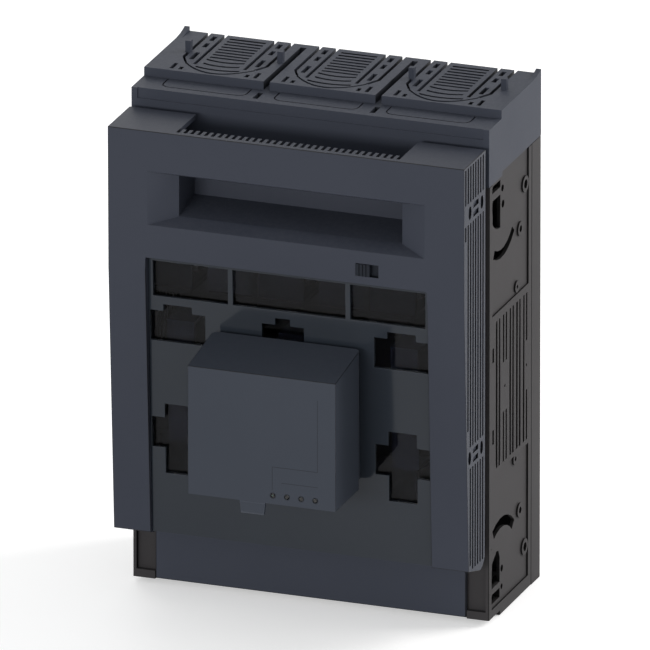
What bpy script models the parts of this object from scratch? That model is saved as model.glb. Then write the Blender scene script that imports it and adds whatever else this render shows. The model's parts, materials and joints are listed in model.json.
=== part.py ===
"""Three-pole fuse switch disconnector for a mounting plate.

The switch stands upright with its back on the plane Y = 0 and its front towards -Y.
X runs from pole to pole and Z runs up, with the origin at the centre of the back face.
A box-shaped handle unit carries the fuses and swings forward about two pins at its foot.
All sizes are in metres. A depth is a distance in front of the mounting plate.
"""

from math import cos, pi, sin

import bmesh
import bpy
from mathutils import Vector

# Clearance between neighbouring pieces, and round the parts that turn or slide
GAP = 0.0003
PIN_CLEARANCE = 0.0001
CUT_OVER = 0.0006

# Poles and width
POLE_PITCH = 0.0657
POLES = (-1, 0, 1)
SIDES = (-1, 1)
SIDE_MARGIN = 0.00645
WIDTH = len(POLES) * POLE_PITCH + 2 * SIDE_MARGIN
HALF = WIDTH / 2
POLE_X = [pole * POLE_PITCH for pole in POLES]

# Heights, stacked up from the foot through the contacts to the top of the upper cover
SKIRT_HEIGHT = 0.0028
FLOOR_TOP = 0.0075
LUG_CLEARANCE = 0.0065
LUG_HOLE_INSET = 0.0140
LUG_SPACING_DOWN = 0.0210
LUG_SPACING_UP = 0.0540
LUG_HEADROOM = 0.0115
CONTACT_SCREW_INSET = 0.0060
JAW_HALF = 0.014
JAW_OFFSET = 0.0640
JAW_CLEARANCE = 0.0095
LUG_REACH_DOWN = JAW_HALF + CONTACT_SCREW_INSET + LUG_SPACING_DOWN + LUG_HOLE_INSET
LUG_REACH_UP = JAW_HALF + CONTACT_SCREW_INSET + LUG_SPACING_UP + LUG_HOLE_INSET
LOWER_JAW = FLOOR_TOP + LUG_CLEARANCE + LUG_REACH_DOWN
FUSE_CENTRE = LOWER_JAW + JAW_OFFSET
UPPER_JAW = FUSE_CENTRE + JAW_OFFSET
HEIGHT = UPPER_JAW + LUG_REACH_UP + LUG_HEADROOM
UPPER_COVER_HEIGHT = 0.0362
BASE_TOP_DROP = 0.0025
BASE_TOP_BACK = HEIGHT - UPPER_COVER_HEIGHT
BASE_TOP_FRONT = BASE_TOP_BACK - BASE_TOP_DROP

# Depths, stacked from the mounting plate to the front of the fuse monitor
REAR_DEPTH = 0.0149
BASE_DEPTH = 0.0842
HANDLE_STANDOFF = 0.0053
HANDLE_THICKNESS = 0.0350
MONITOR_SETBACK = 0.0023
MONITOR_THICKNESS = 0.0411
HOUSING_BACK = REAR_DEPTH + GAP
HANDLE_BACK = BASE_DEPTH + HANDLE_STANDOFF
HANDLE_FRONT = HANDLE_BACK + HANDLE_THICKNESS
MONITOR_BACK = HANDLE_FRONT - MONITOR_SETBACK
MONITOR_FRONT = MONITOR_BACK + MONITOR_THICKNESS

# Rear tray
REAR_WALL = 0.003
REAR_RIB = 0.0035
REAR_POCKET_COLUMNS = 7
REAR_MIDDLE_RIB = 0.024
MOUNT_HOLE_RADIUS = 0.00425
MOUNT_HOLE_INSET_X = 0.0145
MOUNT_HOLE_INSET_Z = 0.022

# Base housing
BASE_WALL = 0.003
BARRIER = 0.003
TOP_STEP_DEPTH = BASE_DEPTH - 0.0207
SKIRT_DEPTH = BASE_DEPTH - 0.0182
FUSE_BAY_HALF = JAW_OFFSET - JAW_HALF - JAW_CLEARANCE
BAY_BOTTOM = FUSE_CENTRE - FUSE_BAY_HALF
BAY_TOP = FUSE_CENTRE + FUSE_BAY_HALF
UPPER_ROOM_BOTTOM = BAY_TOP + BASE_WALL
LOWER_ROOM_TOP = BAY_BOTTOM - BASE_WALL
CABLE_SLOT_WIDTH = 0.044
CABLE_SLOT_BACK = 0.020
CABLE_SLOT_FRONT = BASE_DEPTH - 0.0242
CORNER_RIM = 0.0020
CORNER_PANEL_DEPTH = BASE_DEPTH - 0.0030
CORNER_PANEL_WALL = 0.003
BLADE_NOTCH = 0.010
BLADE_NOTCH_BACK = 0.022

# Relief of the two side walls
FIELD_RELIEF = 0.0010
FIELD_BACK = 0.0200
FIELD_FRONT = BASE_DEPTH - 0.0047
UPPER_FIELD_FLOOR = FUSE_CENTRE + 0.0470
LOWER_FIELD_TOP = FUSE_CENTRE - 0.0470

# Vent slots of the side walls, in pairs
VENT_BOTTOM = FUSE_CENTRE - 0.0440
VENT_TOP = FUSE_CENTRE + 0.0425
VENT_WIDTH = 0.0021
VENT_SPLIT = 0.0046
VENT_PAIRS = 5
VENT_FIRST_DEPTH = 0.0254
VENT_LAST_DEPTH = BASE_DEPTH - 0.0144
VENT_PITCH = (VENT_LAST_DEPTH - VENT_FIRST_DEPTH) / (VENT_PAIRS - 1)
BLANK_HALF = 0.0145
BLANK_HOLE_RADIUS = 0.0009
EDGE_SLOT_DEPTH = BASE_DEPTH - 0.0063
EDGE_SLOT_WIDTH = 0.0025
EDGE_SLOT_HALF = 0.0042
EDGE_SLOT_OFFSET = 0.0240

# Ring bosses, curved slots and small holes of the side walls, as (depth, height)
GUIDE_FRONT = BASE_DEPTH - 0.0042
GUIDE_BACK = GUIDE_FRONT - 0.0160
RING_WALL = 0.0022
RING_BOSSES = (
    ((0.0250, BASE_TOP_BACK - 0.0203), 0.0048),
    ((GUIDE_BACK - 0.0310, BASE_TOP_BACK - 0.0439), 0.0042),
    ((0.0383, UPPER_FIELD_FLOOR + 0.0042), 0.0034),
    ((GUIDE_BACK - 0.0310, 0.0506), 0.0042),
    ((0.0407, LOWER_FIELD_TOP - 0.0024), 0.0036),
    ((0.0250, 0.0262), 0.0048),
)
SMALL_HOLES = (
    ((BASE_DEPTH - 0.0237, BASE_TOP_BACK - 0.0108), 0.0021),
    ((BASE_DEPTH - 0.0245, BASE_TOP_BACK - 0.0203), 0.0023),
    ((BASE_DEPTH - 0.0237, 0.0258), 0.0021),
    ((BASE_DEPTH - 0.0234, 0.0152), 0.0017),
)
UPPER_GUIDE_TOP = BASE_TOP_BACK - 0.0133
UPPER_GUIDE_TURN = (GUIDE_BACK + 0.0010, UPPER_GUIDE_TOP - 0.0044)
UPPER_GUIDE_RADIUS = GUIDE_FRONT - UPPER_GUIDE_TURN[0]
UPPER_GAP_HEIGHTS = (BASE_TOP_BACK - 0.0090, BASE_TOP_BACK - 0.0048)
LOWER_GUIDE = (
    (GUIDE_BACK, 0.0190), (GUIDE_FRONT, 0.0190), (GUIDE_FRONT, 0.0303), (GUIDE_FRONT - 0.0045, 0.0345),
    (GUIDE_BACK + 0.0050, 0.0387), (GUIDE_BACK + 0.0020, 0.0380), (GUIDE_BACK, 0.0335),
)
LOWER_GAP_HEIGHTS = (0.0100, 0.0155)
UPPER_SMILE_CENTRE = (GUIDE_FRONT - 0.0180, BASE_TOP_BACK - 0.0222)
UPPER_SMILE_RADIUS = 0.0265
UPPER_SMILE_WIDTH = 0.0050
UPPER_SMILE_ENDS = (0.620, 0.828)
LOWER_FROWN_CENTRE = (GUIDE_FRONT - 0.0185, 0.0252)
LOWER_FROWN_RADIUS = 0.0280
LOWER_FROWN_WIDTH = 0.0060
LOWER_FROWN_ENDS = (0.172, 0.373)
CORNER_SLOT_DEPTH = GUIDE_FRONT
CORNER_SLOT_HEIGHTS = (BASE_TOP_BACK - 0.0423, 0.0470)
CORNER_SLOT_WIDTH = 0.0020
CORNER_SLOT_LENGTH = 0.0070

# Contacts, one above and one below each fuse
CONTACT_WIDTH = 0.030
CONTACT_PLATE = 0.003
JAW_GAP = 0.0062
JAW_PLATE = 0.0024
JAW_DEPTH = BASE_DEPTH - 0.0122
JAW_FLARE = 0.0022
BOLT_RADIUS = 0.005
BOLT_HOLE_CLEARANCE = 0.0005
BOLT_HEAD_FLAT = 0.0085
BOLT_HEAD_HEIGHT = 0.0064
BOLT_REACH = 0.0110
WASHER_RADIUS = 0.0100
WASHER_THICKNESS = 0.0020
SPRING_WIDTH = 0.0100
SPRING_THICKNESS = 0.0012
SPRING_DEPTH = JAW_DEPTH - 0.0260
CONTACT_SCREW_RADIUS = 0.0025
CONTACT_SCREW_HEAD = 0.0042

# Touch guards in front of the contacts
GUARD_THICKNESS = 0.0025
GUARD_RECESS = 0.0010
GUARD_SLOT = 0.0090
GUARD_SLOT_OVER = 0.0040
GUARD_MARGIN = 0.0060

# Arc chutes above the upper contacts
CHUTE_WIDTH = 0.042
CHUTE_HEIGHT = 0.034
CHUTE_WALL = 0.0015
CHUTE_BACK = 0.0300
CHUTE_LIFT = 0.0040
CHUTE_VENT = 0.0051
DEION_PLATES = 6
DEION_THICKNESS = 0.0012
DEION_NOTCH = 0.0120
DEION_RAIL = 0.0060

# Upper terminal cover
COVER_WALL = 0.003
COVER_TOP_WALL = 0.003
STEP_TOP = HEIGHT - 0.0050
HUMP_FRONT = TOP_STEP_DEPTH + 0.0015
COVER_FRONT = BASE_DEPTH + 0.0010
HUMP_SPLIT = 0.0036
HUMP_SPLIT_BACK = 0.0050
CORNER_RISE = 0.0025
CORNER_RAMP = 0.0140
PEG_SIDE = 0.0032
PEG_HEIGHT = 0.0065
PEG_DEPTH = 0.0318
PEG_OFFSETS = (-POLE_PITCH / 2 + 0.0078, POLE_PITCH / 2 - HUMP_SPLIT / 2 - PEG_SIDE / 2 - GAP)
GRILLE_SLOT = 0.0020
GRILLE_HALF = 0.0107
GRILLE_FIRST = 0.0057
GRILLE_PITCH = 0.0045
GRILLE_CURVED = ((HUMP_FRONT - 0.0237, 1.05), (HUMP_FRONT - 0.0170, 1.0), (HUMP_FRONT - 0.0105, 1.2))
GRILLE_STRAIGHT = round((GRILLE_CURVED[0][0] - GRILLE_FIRST) / GRILLE_PITCH)
GRILLE_SAG = 0.0022
INNER_SLIT = 0.0147
INNER_SLIT_DEPTHS = (-CUT_OVER, HUMP_FRONT - 0.0140)
OUTER_SLIT = 0.0245
ELBOW_OFFSET = 0.0040
ELBOW_END = HUMP_FRONT - 0.0150
ELBOW_START = ELBOW_END - 0.0080
BOW_SAG = HUMP_FRONT - ELBOW_END - 0.0025
DASH_LINE = 0.0194
DASH_SHARES = ((0.195, 0.170), (0.470, 0.165), (0.910, 0.280))
DASH_WIDTH = 0.0026
FOOT_SLOT_WIDTH = 0.0022
FOOT_SLOT_FRONT = HUMP_FRONT - 0.0030
OUTER_FOOT_SLOT = FOOT_SLOT_FRONT - 0.0090
INNER_FOOT_SLOT = FOOT_SLOT_FRONT - 0.0044
KNOCKOUT_HALF = 0.0250
KNOCKOUT_BACK = HUMP_FRONT + 0.0012
KNOCKOUT_FRONT = COVER_FRONT - 0.0062
KNOCKOUT_LINE = 0.0008
KNOCKOUT_RADIUS = 0.0050
LINE_RELIEF = 0.0008
STEP_SLOT = 0.0030
STEP_SLOT_BACK = HUMP_FRONT + 0.0050
STEP_SLOT_FRONT = COVER_FRONT - 0.0052
LIP_HEIGHT = STEP_TOP - 0.0060
LIP_HALF = HALF - 0.0035
LIP_RELIEF = 0.0007

# Lower terminal cover
LOWER_COVER_HALF = HALF - 0.0134
LOWER_COVER_FRONT = BASE_DEPTH + 0.0003
LOWER_COVER_WALL = 0.0025
LOWER_COVER_BOTTOM = SKIRT_HEIGHT + 0.0005
LOWER_COVER_TOP = 0.0620
COVER_LAP = 0.0025

# Hinge at the foot of the handle unit
HINGE_BOSS_RADIUS = 0.0085
HINGE_DEPTH = HANDLE_BACK + HINGE_BOSS_RADIUS
HINGE_HEIGHT = 0.0460
HINGE_PIN_RADIUS = 0.0025
HINGE_LUG_RADIUS = 0.0055
HINGE_LUG_WIDTH = 0.0055
HINGE_PIN_SEAT = 0.0020

# Handle unit frame
HANDLE_HALF = HALF - 0.0005
HANDLE_WALL = 0.0028
HANDLE_INSIDE = HANDLE_HALF - HANDLE_WALL
HANDLE_MIDDLE_FRONT = HANDLE_FRONT - 0.0005
HANDLE_FOOT_FRONT = HANDLE_FRONT - 0.0085
HANDLE_TOP = HEIGHT - 0.0148
HANDLE_CREASE = FUSE_CENTRE + 0.0665
HANDLE_BOTTOM = HINGE_HEIGHT - 0.0033
LEG_WIDTH = 0.0219
LEG_WALL = 0.0022
LEG_WALL_DEPTH = 0.0150
WINDOW_HALF = HANDLE_HALF - LEG_WIDTH
WINDOW_TOP = HANDLE_CREASE + 0.0075
RIB_PITCH = 0.00404
RIB_SLOT = 0.0019
RIB_RELIEF = 0.0012
RIB_FIRST_DEPTH = HANDLE_BACK + 0.0040
RIB_COUNT = 9
RIB_MARGIN = 0.0015
BAND_HEIGHTS = (HANDLE_BOTTOM + 0.0666, HANDLE_TOP - 0.0285)
BAND_HALF = 0.0062
BAND_MIDDLE = HANDLE_BACK + 0.0157
BAND_OVAL_DEPTH = 0.0048
BAND_OVAL_HEIGHT = 0.0078
BAND_OVAL_OFFSET = 0.0097
BAND_DASH = 0.0030
BAND_DASH_LENGTH = 0.0084
BAND_DASH_OFFSET = 0.0026

# Finger recess of the handle unit
GRIP_HALF = HANDLE_HALF - 0.0391
GRIP_TOP = HANDLE_TOP - 0.0270
GRIP_BOTTOM = GRIP_TOP - 0.0237
GRIP_BACK_BOTTOM = GRIP_BOTTOM + 0.0047
GRIP_THROAT_DEPTH = HANDLE_FRONT - 0.0080
GRIP_LIP_HALF = GRIP_HALF + 0.0156
GRIP_LIP_BOTTOM = GRIP_BOTTOM - 0.0044
GRIP_LIP_TOP = GRIP_TOP + 0.0033
GRIP_WALL = 0.0020

# Vent comb in the top of the handle unit
COMB_HALF = GRIP_HALF
COMB_FRONT = HANDLE_FRONT - 0.0035
COMB_ROOT = COMB_FRONT - 0.0060
COMB_PITCH = 0.00403
COMB_SLOT = 0.0020

# Locking slider beside the finger recess
LOCK_LEFT = 0.0408
LOCK_RIGHT = LOCK_LEFT + 0.0135
LOCK_BOTTOM = WINDOW_TOP + 0.0049
LOCK_TOP = LOCK_BOTTOM + 0.0074
LOCK_TRAVEL = 0.0048
LOCK_PROUD = 0.0006
LOCK_PLATE = 0.0018
LOCK_PLATE_OVER = 0.0022
LOCK_RIDGES = 3

# Fuse carrier plate and inspection window
CARRIER_SETBACK = 0.0045
CARRIER_FOOT_SETBACK = 0.0024
CARRIER_THICKNESS = 0.0024
WINDOW_THICKNESS = 0.0014
TOP_OPENING_TOP = WINDOW_TOP - 0.0025
TOP_OPENING_BOTTOM = TOP_OPENING_TOP - 0.0209
TOP_OPENING_WEB = 0.0028
TOP_OPENING_HALF = WINDOW_HALF - 0.0012
TOP_WEB_OFFSET = POLE_PITCH / 2 + 0.00165
KEYHOLE_HALF = 0.0162
KEYHOLE_NECK = 0.0084
UPPER_KEYHOLE_TOP = TOP_OPENING_BOTTOM - 0.0046
UPPER_KEYHOLE = (UPPER_KEYHOLE_TOP - 0.0220, UPPER_KEYHOLE_TOP - 0.0040, UPPER_KEYHOLE_TOP)
MIDDLE_KEYHOLE_WIDTH = 0.0248
MIDDLE_KEYHOLE_NECK = 0.0088
LOWER_KEYHOLE = (FUSE_CENTRE - 0.0546, FUSE_CENTRE - 0.0395, FUSE_CENTRE - 0.0215, FUSE_CENTRE - 0.0132)

# Fuse grippers behind the carrier plate
GRIPPER_WIDTH = 0.016
GRIPPER_HALF = FUSE_BAY_HALF - 0.0045
GRIPPER_THICKNESS = 0.0022
GRIPPER_TIP_DEPTH = HANDLE_BACK + 0.0010
GRIPPER_HOOK = 0.0032

# Fuse monitor on the handle unit
MONITOR_HALF = 0.0434
MONITOR_BOTTOM = FUSE_CENTRE - 0.0460
MONITOR_FRONT_TOP = MONITOR_BOTTOM + 0.0750
MONITOR_BACK_TOP = MONITOR_FRONT_TOP + 0.0064
MONITOR_WALL = 0.0020
MONITOR_CORNER = 0.0040
FOOT_INSET = 0.0026
FOOT_FLOOR = 0.0020
LAMP_RADIUS = 0.0012
LAMP_HEIGHT = MONITOR_BOTTOM + 0.0050
LAMP_FIRST = MONITOR_HALF - 0.0368
LAMP_PITCH = 0.0083
LAMP_COUNT = 4
LAMP_DRAFT = 0.00003
BOARD_DEPTH = MONITOR_FRONT - 0.0133
BOARD_THICKNESS = 0.0016
TRANSFORMER_SIDE = 0.0250
TRANSFORMER_OFFSET = MONITOR_HALF - 0.0214
CHIP_OFFSET = 0.0160
CHIP_SIDE = 0.0140
CHIP_HEIGHT = 0.0060
CONNECTOR_LENGTH = 0.0440
CONNECTOR_SIDE = 0.0090
CAPACITORS = 3
CAPACITOR_PITCH = 0.0120
CAPACITOR_RADIUS = 0.0037
CAPACITOR_HEIGHT = 0.0110
SCREW_RADIUS = 0.0015
SCREW_HEAD_RADIUS = 0.0028
SCREW_HEAD_HEIGHT = 0.0018
SCREW_INSET = 0.0060
CABLE_HOLE = (MONITOR_HALF - 0.0214, MONITOR_HALF - 0.0074)
CABLE_HOLE_HALF = 0.0100

# Plain colours, roughness and metallic value of each finish
FINISHES = {
    "black_brown_plastic": ((0.028, 0.025, 0.026), 0.55, 0.0),
    "blue_grey_plastic": ((0.048, 0.053, 0.070), 0.50, 0.0),
    "grey_plastic": ((0.042, 0.047, 0.053), 0.50, 0.0),
    "smoked_clear_plastic": ((0.100, 0.105, 0.115), 0.20, 0.0),
    "silvered_copper": ((0.720, 0.690, 0.640), 0.30, 1.0),
    "spring_steel": ((0.500, 0.500, 0.510), 0.35, 1.0),
    "zinc_steel": ((0.620, 0.620, 0.600), 0.35, 1.0),
    "circuit_board": ((0.020, 0.120, 0.060), 0.45, 0.0),
    "clear_light_guide": ((0.550, 0.560, 0.560), 0.25, 0.0),
}


class Model:
    """The scene's helper data: the two empties that carry the pieces."""

    root = None
    handle = None


def clear_scene():
    """Remove every object of the opened scene."""
    for item in list(bpy.data.objects):
        bpy.data.objects.remove(item, do_unlink=True)


def finish(name):
    """Return the material of one finish, made on its first use."""
    material = bpy.data.materials.get(name)
    if material is None:
        colour, roughness, metallic = FINISHES[name]
        material = bpy.data.materials.new(name)
        material.use_nodes = True
        shader = material.node_tree.nodes["Principled BSDF"]
        shader.inputs["Base Color"].default_value = (*colour, 1.0)
        shader.inputs["Roughness"].default_value = roughness
        shader.inputs["Metallic"].default_value = metallic
        material.diffuse_color = (*colour, 1.0)
    return material


def empty(name, location, parent=None):
    """Add an empty that carries other objects."""
    item = bpy.data.objects.new(name, None)
    item.empty_display_size = 0.02
    bpy.context.scene.collection.objects.link(item)
    item.parent = parent
    item.location = location
    return item


def add_object(name, shape, parent):
    """Turn a bmesh into an object that shares its parent's frame with every other piece."""
    bmesh.ops.recalc_face_normals(shape, faces=shape.faces)
    mesh = bpy.data.meshes.new(name)
    shape.to_mesh(mesh)
    shape.free()
    item = bpy.data.objects.new(name, mesh)
    bpy.context.scene.collection.objects.link(item)
    item.parent = parent
    item.location = -parent.location if parent is Model.handle else Vector()
    return item


def piece(name, shape, look, parent=None):
    """Add one named piece with its material."""
    item = add_object(name, shape, parent or Model.root)
    item.data.materials.append(finish(look))
    return item


def combine(item, operation, label, shape):
    """Join a helper shape to a piece, or cut it away, with an exact Boolean."""
    tool = add_object(f"{label}_{item.name}", shape, item.parent)
    tool.hide_render = True
    tool.display_type = "WIRE"
    modifier = item.modifiers.new(label, "BOOLEAN")
    modifier.operation = operation
    modifier.solver = "EXACT"
    modifier.object = tool


def cut(item, label, shape):
    """Cut a helper shape away from a piece."""
    combine(item, "DIFFERENCE", label, shape)


def join(item, label, shape):
    """Join a helper shape to a piece."""
    combine(item, "UNION", label, shape)


def soften(item, angle=0.6):
    """Shade the round faces of a piece smooth and keep its edges sharp."""
    item.data.shade_smooth()
    item.data.set_sharp_from_angle(angle=angle)


def span(centre, size):
    """Return the two ends of a length about its centre."""
    return centre - size / 2, centre + size / 2


def arc(centre, radius, start, end, steps):
    """Return points on an arc, with both ends, from angles in turns of a circle."""
    points = []
    for step in range(steps + 1):
        angle = 2 * pi * (start + (end - start) * step / steps)
        points.append((centre[0] + radius * cos(angle), centre[1] + radius * sin(angle)))
    return points


def circle(centre, radius, sides=16):
    """Return the corners of a regular polygon about a centre."""
    return arc(centre, radius, 0, 1 - 1 / sides, sides - 1)


def extrude(shape, outline, place, start, end):
    """Extrude a closed outline between two planes. place maps outline point and plane to space."""
    corners = [shape.verts.new(place(a, b, start)) for a, b in outline]
    face = shape.faces.new(corners)
    pushed = bmesh.ops.extrude_face_region(shape, geom=[face])
    moved = [item for item in pushed["geom"] if isinstance(item, bmesh.types.BMVert)]
    offset = Vector(place(0, 0, end)) - Vector(place(0, 0, start))
    bmesh.ops.translate(shape, vec=offset, verts=moved)


def along_x(shape, outline, x_range):
    """Extrude an outline of depth and height points along X."""
    extrude(shape, outline, lambda a, b, t: (t, -a, b), *x_range)


def along_depth(shape, outline, depth_range):
    """Extrude an outline of X and height points to the front."""
    extrude(shape, outline, lambda a, b, t: (a, -t, b), *depth_range)


def along_z(shape, outline, z_range):
    """Extrude an outline of X and depth points upwards."""
    extrude(shape, outline, lambda a, b, t: (a, -b, t), *z_range)


def block(shape, x_range, depth_range, z_range):
    """Add a box between three ranges."""
    (left, right), (back, front) = x_range, depth_range
    along_z(shape, [(left, back), (right, back), (right, front), (left, front)], z_range)


def wedge(shape, back_ring, front_ring):
    """Add a closed solid between two rings of points with as many corners each."""
    rings = [[shape.verts.new(point) for point in ring] for ring in (back_ring, front_ring)]
    edges = []
    for ring in rings:
        face = shape.faces.new(ring)
        edges.extend(face.edges)
    bmesh.ops.bridge_loops(shape, edges=edges)


def upright_ring(half_width, low, high, depth):
    """Return the four corners of an upright rectangle."""
    return [(x, -depth, z) for x, z in rect((-half_width, half_width), (low, high))]


def channel(pole):
    """Return the X range of one pole's channel between its walls."""
    walls = [-HALF + BASE_WALL, HALF - BASE_WALL]
    left = walls[0] if pole == POLES[0] else (pole - 0.5) * POLE_PITCH + BARRIER / 2
    right = walls[1] if pole == POLES[-1] else (pole + 0.5) * POLE_PITCH - BARRIER / 2
    return left, right


def side_wall_cut(shape, outline, side, depth=BASE_WALL):
    """Add a cutter through one side wall, or only into its outer face."""
    outside = side * (HALF + CUT_OVER)
    inside = side * (HALF - depth - (CUT_OVER if depth >= BASE_WALL else 0))
    along_x(shape, outline, sorted((outside, inside)))


def rect(a_range, b_range):
    """Return the four corners of a rectangle."""
    (a_low, a_high), (b_low, b_high) = a_range, b_range
    return [(a_low, b_low), (a_high, b_low), (a_high, b_high), (a_low, b_high)]


def rear_base():
    """Rear tray with open ribs at its back and four holes for the fixing screws."""
    body = bmesh.new()
    block(body, (-HALF, HALF), (0, REAR_DEPTH), (0, BASE_TOP_BACK - GAP))
    tray = piece("rear_base", body, "black_brown_plastic")
    pockets = bmesh.new()
    inner_width = WIDTH - 2 * REAR_WALL
    pitch = inner_width / REAR_POCKET_COLUMNS
    middle = HEIGHT / 2
    rows = (
        (REAR_WALL, middle - REAR_MIDDLE_RIB / 2),
        (middle + REAR_MIDDLE_RIB / 2, BASE_TOP_BACK - GAP - REAR_WALL),
    )
    for column in range(REAR_POCKET_COLUMNS):
        centre = -inner_width / 2 + (column + 0.5) * pitch
        for row in rows:
            block(pockets, span(centre, pitch - REAR_RIB), (-CUT_OVER, REAR_DEPTH - REAR_WALL), row)
    cut(tray, "pockets", pockets)
    holes = bmesh.new()
    for side in SIDES:
        for height in (MOUNT_HOLE_INSET_Z, BASE_TOP_BACK - MOUNT_HOLE_INSET_Z):
            centre = (side * (HALF - MOUNT_HOLE_INSET_X), height)
            along_depth(holes, circle(centre, MOUNT_HOLE_RADIUS), (-CUT_OVER, REAR_DEPTH + CUT_OVER))
    cut(tray, "mount_holes", holes)


def housing_shell():
    """Return the base housing's outer block."""
    body = bmesh.new()
    back_top = BASE_TOP_BACK - GAP
    front_top = BASE_TOP_FRONT - GAP
    outline = [
        (HOUSING_BACK, 0), (SKIRT_DEPTH, 0), (SKIRT_DEPTH, SKIRT_HEIGHT), (BASE_DEPTH, SKIRT_HEIGHT),
        (BASE_DEPTH, front_top), (TOP_STEP_DEPTH, front_top), (TOP_STEP_DEPTH, back_top),
        (HOUSING_BACK, back_top),
    ]
    along_x(body, outline, (-HALF, HALF))
    return piece("base_housing", body, "black_brown_plastic")


def housing_rooms(housing):
    """Cut the fuse bays, the contact rooms and the cable slots of each pole."""
    bays = bmesh.new()
    uppers = bmesh.new()
    lowers = bmesh.new()
    mouths = bmesh.new()
    notches = bmesh.new()
    cables = bmesh.new()
    back = HOUSING_BACK - CUT_OVER
    front = BASE_DEPTH + CUT_OVER
    panel_back = CORNER_PANEL_DEPTH - CORNER_PANEL_WALL
    for pole, x in zip(POLES, POLE_X):
        room = channel(pole)
        block(bays, room, (back, front), (BAY_BOTTOM, BAY_TOP))
        block(uppers, room, (back, front), (UPPER_ROOM_BOTTOM, BASE_TOP_BACK + CUT_OVER))
        block(lowers, room, (back, panel_back), (FLOOR_TOP, LOWER_ROOM_TOP))
        inside = LOWER_COVER_HALF - COVER_LAP
        mouth = max(room[0], -inside), min(room[1], inside)
        block(mouths, mouth, (panel_back - CUT_OVER, front), (FLOOR_TOP, LOWER_ROOM_TOP))
        notch_x = span(x, BLADE_NOTCH)
        block(notches, notch_x, (BLADE_NOTCH_BACK, front), (BAY_TOP - CUT_OVER, UPPER_ROOM_BOTTOM + CUT_OVER))
        block(notches, notch_x, (BLADE_NOTCH_BACK, front), (LOWER_ROOM_TOP - CUT_OVER, BAY_BOTTOM + CUT_OVER))
        through = (-CUT_OVER, FLOOR_TOP + CUT_OVER)
        block(cables, span(x, CABLE_SLOT_WIDTH), (CABLE_SLOT_BACK, CABLE_SLOT_FRONT), through)
    cut(housing, "bays", bays)
    cut(housing, "upper_rooms", uppers)
    cut(housing, "lower_rooms", lowers)
    cut(housing, "lower_mouths", mouths)
    cut(housing, "notches", notches)
    cut(housing, "cable_slots", cables)


def housing_foot(housing):
    """Step the front back round the lower cover, above the foot and under the floor."""
    panels = bmesh.new()
    between = HALF - CORNER_RIM
    depth_range = (CORNER_PANEL_DEPTH, BASE_DEPTH + CUT_OVER)
    block(panels, (-between, between), depth_range, (FLOOR_TOP, LOWER_COVER_TOP + GAP))
    cut(housing, "corner_panels", panels)
    seat = bmesh.new()
    inside = LOWER_COVER_HALF + GAP
    seat_depth = LOWER_COVER_FRONT - LOWER_COVER_WALL - GAP
    block(seat, (-inside, inside), (seat_depth, BASE_DEPTH + CUT_OVER), (-CUT_OVER, FLOOR_TOP + CUT_OVER))
    cut(housing, "cover_seat", seat)
    below = bmesh.new()
    inner = HALF - BASE_WALL
    depth_range = (HOUSING_BACK - CUT_OVER, SKIRT_DEPTH + CUT_OVER)
    block(below, (-inner, inner), depth_range, (-CUT_OVER, SKIRT_HEIGHT))
    cut(housing, "skirt_hollow", below)


def hinge_lug_range(side):
    """Return the X range of one hinge lug, just inside the handle unit's cheek."""
    outer = HANDLE_INSIDE - HINGE_PIN_SEAT - GAP
    return sorted((side * outer, side * (outer - HINGE_LUG_WIDTH)))


def hinge_outline(radius, back_depth):
    """Return a plate outline with a round end about the hinge axis, open to the back."""
    low, high = HINGE_HEIGHT - radius, HINGE_HEIGHT + radius
    nose = arc((HINGE_DEPTH, HINGE_HEIGHT), radius, -0.25, 0.25, 10)
    return [(back_depth, high), (back_depth, low)] + nose


def housing_hinge_lugs(housing):
    """Add the two lugs that carry the hinge pins, with their holes."""
    lugs = bmesh.new()
    holes = bmesh.new()
    radius = HINGE_PIN_RADIUS + PIN_CLEARANCE
    for side in SIDES:
        x_range = hinge_lug_range(side)
        along_x(lugs, hinge_outline(HINGE_LUG_RADIUS, CORNER_PANEL_DEPTH - CORNER_PANEL_WALL / 2), x_range)
        hole_range = (x_range[0] - CUT_OVER, x_range[1] + CUT_OVER)
        along_x(holes, circle((HINGE_DEPTH, HINGE_HEIGHT), radius), hole_range)
    join(housing, "hinge_lugs", lugs)
    cut(housing, "hinge_holes", holes)


def side_fields(housing):
    """Sink the two flat fields of each side wall and leave round bosses standing in them."""
    fields = bmesh.new()
    bosses = bmesh.new()
    top = BASE_TOP_BACK + CUT_OVER
    for side in SIDES:
        upper = [
            (FIELD_BACK, UPPER_FIELD_FLOOR), (FIELD_FRONT, UPPER_FIELD_FLOOR), (FIELD_FRONT, top),
            (FIELD_BACK, top),
        ]
        lower = rect((FIELD_BACK, FIELD_FRONT), (FLOOR_TOP, LOWER_FIELD_TOP))
        side_wall_cut(fields, upper, side, FIELD_RELIEF)
        side_wall_cut(fields, lower, side, FIELD_RELIEF)
        for centre, radius in RING_BOSSES:
            along_x(bosses, circle(centre, radius), sorted((side * HALF, side * (HALF - BASE_WALL / 2))))
    cut(housing, "side_fields", fields)
    join(housing, "ring_bosses", bosses)


def crescent(centre, radius, start, end, thickness, steps=6):
    """Return a curved slot that tapers to its two ends."""
    outer = arc(centre, radius + thickness / 2, start, end, steps)
    inner = arc(centre, radius - thickness / 2, start, end, steps)
    return outer + inner[::-1]


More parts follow.
